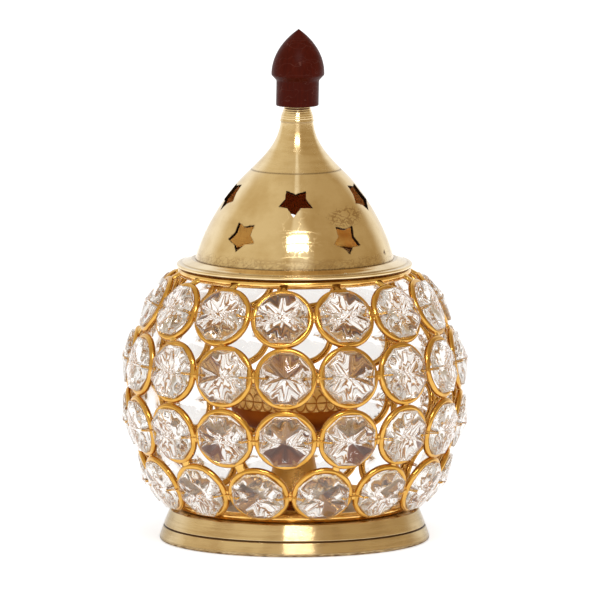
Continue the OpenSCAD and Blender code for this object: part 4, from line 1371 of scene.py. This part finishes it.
class DIYA_OT_dome(Operator):
    """Pierced dome, its stepped rim and its neck with a ringed collar"""

    bl_idname = "diya.dome"
    bl_label = "Dome"

    def execute(self, context):
        making = context.scene.diya_making
        self.shell(making.star_wander / MM, making.lid_lean)
        self.rim()
        self.neck(making.lid_lean)
        return {"FINISHED"}

    def shell(self, wander, lean):
        """The dome's wall, cut by the star prisms, with the curve's own normals on both faces."""
        side = dome_profile(56)
        base = FOOT_Z + SEAT
        profile = np.concatenate([side, (side - [DOME_WALL, 0])[::-1]]) + [0, base]
        wall = loose("dome_wall", mesh_from("dome_wall", *turned(profile, DOME_SEGMENTS)))
        cut_by(wall, "stars", star_cutters(np.random.default_rng(STAR_SEED), wander))
        points, total, index, normal = evaluated(wall)
        x, y, z = points.T
        r = np.hypot(x, y)
        tilt = dome_tilt(side, z - base)
        outward = np.stack([x / r * np.cos(tilt), y / r * np.cos(tilt), np.sin(tilt)], -1)
        facing = np.sum(face_means(outward, total, index) * normal, 1)
        outer, inner, sawn = 0, 1, 2
        kinds = np.where(facing > 0.85, outer, np.where(facing < -0.85, inner, sawn))
        owner = np.repeat(np.arange(len(total)), total)
        sign = np.where(kinds == outer, 1.0, -1.0)[owner]
        on_saw = (kinds == sawn)[owner]
        normals = np.where(on_saw[:, None], normal[owner], outward[index] * sign[:, None])
        mesh = ngon_mesh("pierced_dome", leaned(points, lean), total, index, kinds)
        mesh.shade_smooth()
        mesh.normals_split_custom_set(normals)
        outside = r > np.interp(z - base, side[:, 1], side[:, 0]) - DOME_WALL / 2
        paint(mesh, self.wear_and_shade(points, base, outside, index[on_saw]))
        piece(mesh, "lid", "dome_brass", "dome_shell", dome_finish(), rough_finish(), sawn_finish())

    def wear_and_shade(self, points, base, outside, cut):
        """Dirt, wear and painted shade of the dome. Outside, dirt lies at the foot, the seam and one dent, a
        dark outline round the cut edges, and wear on a scuffed patch and along the foot. Inside, painted
        shade deepens upwards and to the middle."""
        dent_at, dent_r, cut_edge_dark = (24.5, -9.8, 79.7), 0.6, 0.6
        scuff_x, scuff_z, scuff_w, scuff_h, scuff_most = 13.6, 90.2, 3.8, 2.2, 0.5
        x, y, z = points.T
        up = z - base
        speck = np.random.default_rng(SPECK_SEED).random(len(points)) ** 2
        foot = np.clip(1 - np.abs(up) / 0.3, 0, 1) * 0.35 + np.clip(1 - up / 2.8, 0, 1) * 0.5 * speck
        seam = np.clip(1 - np.abs(z - SEAM_Z) / 0.12, 0, 1) * 0.4
        dent = np.linalg.norm(points - dent_at, axis=1) < dent_r
        # Painted shade inside the dome, deeper upwards and towards the middle
        inner_shade = 0.05 + 0.87 * np.clip((up - 5.5) / 2.5, 0, 1) * np.clip((15 - np.abs(x)) / 6, 0.35, 1)
        edges = np.zeros(len(points))
        # A dark outline round each star's cut edge
        edges[cut] = cut_edge_dark
        dirt_and_shade = np.where(outside, np.maximum(foot + seam + dent, edges), inner_shade).clip(0, 1)
        off = np.hypot((x - scuff_x) / scuff_w, (z - scuff_z) / scuff_h)
        scuff = np.clip(1.6 - 1.2 * off, 0, scuff_most) * (y < 0)
        worn = np.maximum(scuff, np.clip(1 - up / 3, 0, 0.22)) * outside
        return {"dirt_and_shade": dirt_and_shade, "worn": worn}

    def rim(self):
        """The stepped rim with its skirt, corners eased, with painted shade in its step and inside it, a
        painted shadow under it and dirt at its joint with the dome.
        """
        skirt, rim = TOP_HOOP_R - HOOP_WIRE / 2 - SKIRT_GAP, TOP_HOOP_R + HOOP_WIRE / 2 + RIM_OVERHANG
        inner, end, lip = skirt - SKIRT_WALL, LID_Z - SKIRT_H, LID_Z + RIM_LIP
        step, seat = DOME_FOOT_R + 0.9, DOME_FOOT_R - DOME_WALL - 0.6
        corners = [(inner, end + 0.1), (inner, end), (skirt, end), (skirt, LID_Z)]
        corners += [(rim - 0.3, LID_Z), (rim, LID_Z + 0.3), (rim, lip - 0.3), (rim - 0.3, lip)]
        corners += [(rim - 1.4, lip + 0.05), (rim - 1.5, lip + 0.3), (step + 1, FOOT_Z - 0.4), (step, FOOT_Z)]
        corners += [(seat, FOOT_Z), (seat, LID_Z + 0.8), (inner, LID_Z), (inner, end + 0.3)]
        profile = rounded(corners, 0.16)
        r, z = profile.T
        corner_shade_and_joint_dirt, rim_edge_shadow, underside_shadow, inside_shade = 0.3, 0.9, 0.35, 0.85
        # Painted shade in the step's corner, and dirt at the joint with the dome
        dirt_and_shade = corner_shade_and_joint_dirt * (np.hypot(r - rim + 1.45, z - lip - 0.12) < 0.3)
        dirt_and_shade = dirt_and_shade + corner_shade_and_joint_dirt * (np.hypot(r - DOME_FOOT_R, z - FOOT_Z) < 0.95)
        # A painted shadow under the rim, darkest at its outer edge
        under = (z < LID_Z + 0.28) & (r > skirt - 0.1)
        dirt_and_shade = np.maximum(dirt_and_shade, under * np.where(r > rim - 0.5, rim_edge_shadow, underside_shadow))
        # Painted shade inside the lid
        dirt_and_shade = np.maximum(dirt_and_shade, inside_shade * (r < DOME_FOOT_R - DOME_WALL + 0.2))
        painted_on = {"dirt_and_shade": np.repeat(np.clip(dirt_and_shade, 0, 1), DOME_SEGMENTS)}
        mesh = mesh_from("stepped_rim", *turned(profile, DOME_SEGMENTS), painted_on, 40)
        piece(mesh, "lid", "dome_brass", "dome_rim", dome_finish())

    def neck(self, lean):
        """The trumpet neck, hollow below, with a tapered collar of fine turned rings."""
        ring_count, ring_depth, seam_dirt, collar_dirt = 7, 0.035, 0.4, 0.5
        low = SEAM_Z + 2 * SEAT
        side = cubic(
            (SEAM_R, low),
            (SEAM_R - 4.2, low + NECK_H * 0.32),
            (NECK_R + 0.45, low + NECK_H * 0.58),
            (NECK_R, COLLAR_Z),
            40,
        )
        z = np.linspace(COLLAR_Z + 0.35, NECK_TOP - 0.1, 60)
        t = (z - COLLAR_Z) / COLLAR_H
        taper = np.interp(t, [0, 0.35, 1], [NECK_R + 0.15, NECK_R - 0.1, COLLAR_TOP_R])
        rings = ring_depth * np.clip(np.sin(FULL_TURN * t * ring_count), -0.2, 1)
        collar = np.stack([taper - rings, z], -1)
        bore, sleeve = NECK_R - DOME_WALL, SEAM_R - DOME_WALL - 0.1
        inner = side[side[:, 0] - DOME_WALL > bore + 0.05] - [DOME_WALL, 0]
        ends = [(COLLAR_TOP_R, NECK_TOP), (SCREW_BORE_R, NECK_TOP)]
        ends += [(SCREW_BORE_R, COLLAR_Z), (bore, COLLAR_Z)]
        tail = [(sleeve - DOME_WALL, low), (sleeve - DOME_WALL, low - SLEEVE_L)]
        tail += [(sleeve, low - SLEEVE_L), (sleeve, low)]
        lip = [(NECK_R + 0.15, COLLAR_Z + 0.05), (NECK_R + 0.16, COLLAR_Z + 0.25)]
        profile = np.concatenate([side, lip, collar, ends, inner[::-1], tail])
        r, z = profile.T
        dirt_and_shade = seam_dirt * np.clip(1 - np.abs(z - low) / 0.14, 0, 1) * (r > sleeve + 0.5)
        dirt_and_shade += collar_dirt * np.clip(1 - np.abs(z - COLLAR_Z) / 0.2, 0, 1)
        painted_on = {"dirt_and_shade": np.repeat(np.clip(dirt_and_shade, 0, 1), NECK_SEGMENTS)}
        points, faces = turned(profile, NECK_SEGMENTS)
        mesh = mesh_from("ringed_neck", leaned(points, lean), faces, painted_on, 45)
        piece(mesh, "lid", "dome_brass", "dome_neck", neck_finish())


class DIYA_OT_knob(Operator):
    """Turned knob with a shank, a bevel and a pointed top"""

    bl_idname = "diya.knob"
    bl_label = "Knob"

    def execute(self, context):
        lean = context.scene.diya_making.lid_lean
        bevel = KNOB_Z + KNOB_SHANK_H
        wide = bevel + KNOB_BEVEL_H
        bore_top, ease = KNOB_Z + SCREW_BORE_DEPTH, 0.15
        point = cubic(
            (KNOB_R, wide),
            (KNOB_R + 0.1, wide + KNOB_POINT_H * 0.37),
            (KNOB_R * 0.667, wide + KNOB_POINT_H * 0.728),
            (0, wide + KNOB_POINT_H),
            40,
        )
        corners = [(0, bore_top), (SCREW_BORE_R, bore_top), (SCREW_BORE_R, KNOB_Z)]
        corners += [(KNOB_SHANK_R - ease, KNOB_Z), (KNOB_SHANK_R, KNOB_Z + ease), (KNOB_SHANK_R, bevel)]
        profile = np.concatenate([rounded([*corners, *point[:3]], 0.35), point[3:]])
        points, faces = turned(profile, KNOB_SEGMENTS, closed=False)
        mesh = mesh_from("turned_knob", leaned(points, lean), faces, crease=50)
        piece(mesh, "lid", "knob", "knob", knob_finish())
        return {"FINISHED"}


class DIYA_OT_hardware(Operator):
    """Finishes of the small pieces that keep the model's own shape"""

    bl_idname = "diya.hardware"
    bl_label = "Nut, washers, screw and wick holder"

    def execute(self, context):
        finishes = {
            "pedestal_washer": base_finish(),
            "pedestal_nut": base_finish(),
            "wick_holder": bowl_finish(),
            "knob_screw": steel_finish(),
            "knob_washer": steel_finish(),
        }
        for name, finish in finishes.items():
            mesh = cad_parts[name].data
            mesh.materials.clear()
            mesh.materials.append(finish)
        return {"FINISHED"}


# Light panels in front, in degrees and metres: azimuth, distance and width of both, then each one's
# elevation, height and share of the power
PANEL_AZIMUTH, PANEL_DISTANCE, PANEL_W = 4.0, 3.0, 1.18
PANELS = {"lower_panel": (39.4, 0.14, 0.54), "upper_panel": (44.8, 0.12, 0.46)}
# What the panels and the camera point at, in metres
PANEL_TARGET, CAMERA_TARGET = (0, 0, 0.07), (0.0015, 0, 0.0654)


class DIYA_OT_studio(Operator):
    """White floor, two front light panels, soft light all round and the camera"""

    bl_idname = "diya.studio"
    bl_label = "Studio"

    def execute(self, context):
        studio = context.scene.diya_studio
        self.floor()
        self.world(studio)
        for name, (elevation, height, share) in PANELS.items():
            self.panel(name, elevation, height, studio.key_power * share)
        self.camera(studio)
        context.scene.view_settings.view_transform = "Standard"
        return {"FINISHED"}

    def floor(self):
        """A wide white floor that keeps the lamp's soft shadow."""
        t = np.linspace(-6000.0, 6000.0, 2)
        x, y = np.meshgrid(t, t)
        points = np.stack([x, y, 0 * x - 0.05], -1).reshape(-1, 3)
        made = loose("floor", mesh_from("floor", points, grid_faces(2, 2, False, False)))
        paper = bpy.data.materials.new("White paper")
        paper.use_nodes = True
        tree = paper.node_tree
        tree.nodes.clear()
        path = add(tree, "ShaderNodeLightPath").outputs
        seen = maths(tree, "MAXIMUM", path["Is Camera Ray"], path["Is Glossy Ray"])
        seen = maths(tree, "MAXIMUM", seen, path["Is Transmission Ray"])
        white, grey = rgba([1.0] * 3), rgba([0.85] * 3)
        glow = add(tree, "ShaderNodeEmission", {"Color": white, "Strength": times(tree, seen, 0.5)})
        matte = add(tree, "ShaderNodeBsdfDiffuse", {"Color": grey})
        both = add(tree, "ShaderNodeAddShader", {0: matte.outputs[0], 1: glow.outputs[0]})
        add(tree, "ShaderNodeOutputMaterial", {"Surface": both.outputs[0]})
        made.data.materials.append(paper)

    def world(self, studio):
        """Seen straight it is white, and in metal and glass it is white behind the lamp. In front, metal
        mirrors the room's tone, darker to the right, with a pale streak in the middle that narrows upwards,
        and glass bends in a tone of its own."""
        made = bpy.data.worlds.new("Studio")
        bpy.context.scene.world = made
        made.use_nodes = True
        tree = made.node_tree
        tree.nodes.clear()
        towards = add(tree, "ShaderNodeTexCoord").outputs["Generated"]
        x, y, z = add(tree, "ShaderNodeSeparateXYZ", {0: towards}).outputs
        room = mixed(tree, ranged(tree, x, -0.6, 0.6), rgba(studio.room_left), rgba(studio.room_right))
        across = times(tree, x, ranged(tree, z, 0.7, 1.0, 1.0, 4.0))
        streak = times(tree, ranged(tree, across, -0.14, -0.04), ranged(tree, across, 0.12, 0.4, 1.0, 0.0))
        room = mixed(tree, streak, room, rgba(studio.room_front))
        behind = ranged(tree, minus(tree, y, times(tree, x, 0.1)), 0.37, 0.76)
        white = rgba([1.0] * 3)
        path = add(tree, "ShaderNodeLightPath").outputs
        colour = rgba([studio.fill] * 3)
        for ray, seen in (("Is Glossy Ray", room), ("Is Transmission Ray", rgba(studio.bent))):
            colour = mixed(tree, path[ray], colour, mixed(tree, behind, seen, white))
        colour = mixed(tree, path["Is Camera Ray"], colour, white)
        back = add(tree, "ShaderNodeBackground", {"Color": colour, "Strength": 1.0})
        add(tree, "ShaderNodeOutputWorld", {"Surface": back.outputs[0]})

    def panel(self, name, elevation, height, power):
        """A soft light panel that faces the lamp's middle from an elevation in degrees."""
        lamp = bpy.data.lights.new(name, "AREA")
        lamp.shape = "RECTANGLE"
        lamp.size, lamp.size_y = PANEL_W, height
        lamp.energy = power
        self.aim(loose(name, lamp), (PANEL_AZIMUTH, elevation), PANEL_DISTANCE, PANEL_TARGET)

    def aim(self, made, direction, distance, target):
        """Puts an object at an azimuth and elevation from a target and turns it to face it."""
        a, e = (math.radians(v) for v in direction)
        away = np.array([math.sin(a) * math.cos(e), -math.cos(a) * math.cos(e), math.sin(e)])
        made.location = np.array(target) + distance * away
        made.rotation_euler = (math.pi / 2 - e, 0, a)

    def camera(self, studio):
        """A long lens at the photograph's angle."""
        lens = bpy.data.cameras.new("camera")
        lens.lens = studio.lens
        lens.sensor_width = 36
        lens.clip_end = 50
        made = loose("camera", lens)
        bpy.context.scene.camera = made
        self.aim(made, (0, math.degrees(studio.camera_height)), studio.camera_distance, CAMERA_TARGET)


PIECES = (
    DIYA_OT_base,
    DIYA_OT_bowl,
    DIYA_OT_wick,
    DIYA_OT_cage_wire,
    DIYA_OT_solder,
    DIYA_OT_beads,
    DIYA_OT_ties,
    DIYA_OT_dome,
    DIYA_OT_knob,
    DIYA_OT_hardware,
    DIYA_OT_studio,
)
SETTINGS = {"diya_finish": DiyaFinish, "diya_making": DiyaMaking, "diya_studio": DiyaStudio}


class DIYA_PT_sidebar(Panel):
    """Lists the lamp's pieces and settings"""

    bl_idname = "DIYA_PT_sidebar"
    bl_label = "Akhand Diya"
    bl_space_type = "VIEW_3D"
    bl_region_type = "UI"
    bl_category = "Diya"

    def draw(self, context):
        for made in PIECES:
            self.layout.operator(made.bl_idname)
        for name in SETTINGS:
            settings = getattr(context.scene, name)
            box = self.layout.box()
            for key in settings.bl_rna.properties.keys():
                if key not in ("rna_type", "name"):
                    box.prop(settings, key)


def register():
    """Registers the settings, operators and panel."""
    for made in (*SETTINGS.values(), *PIECES, DIYA_PT_sidebar):
        bpy.utils.register_class(made)
    for key, made in SETTINGS.items():
        setattr(bpy.types.Scene, key, PointerProperty(type=made))


def unregister():
    """Takes them away again."""
    for key in SETTINGS:
        delattr(bpy.types.Scene, key)
    for made in (DIYA_PT_sidebar, *reversed(PIECES), *reversed(list(SETTINGS.values()))):
        bpy.utils.unregister_class(made)


def main():
    """Builds every piece and the studio in order."""
    register()
    for made in PIECES:
        name = made.bl_idname.split(".")[1]
        getattr(bpy.ops.diya, name)()


if __name__ == "__main__":
    main()
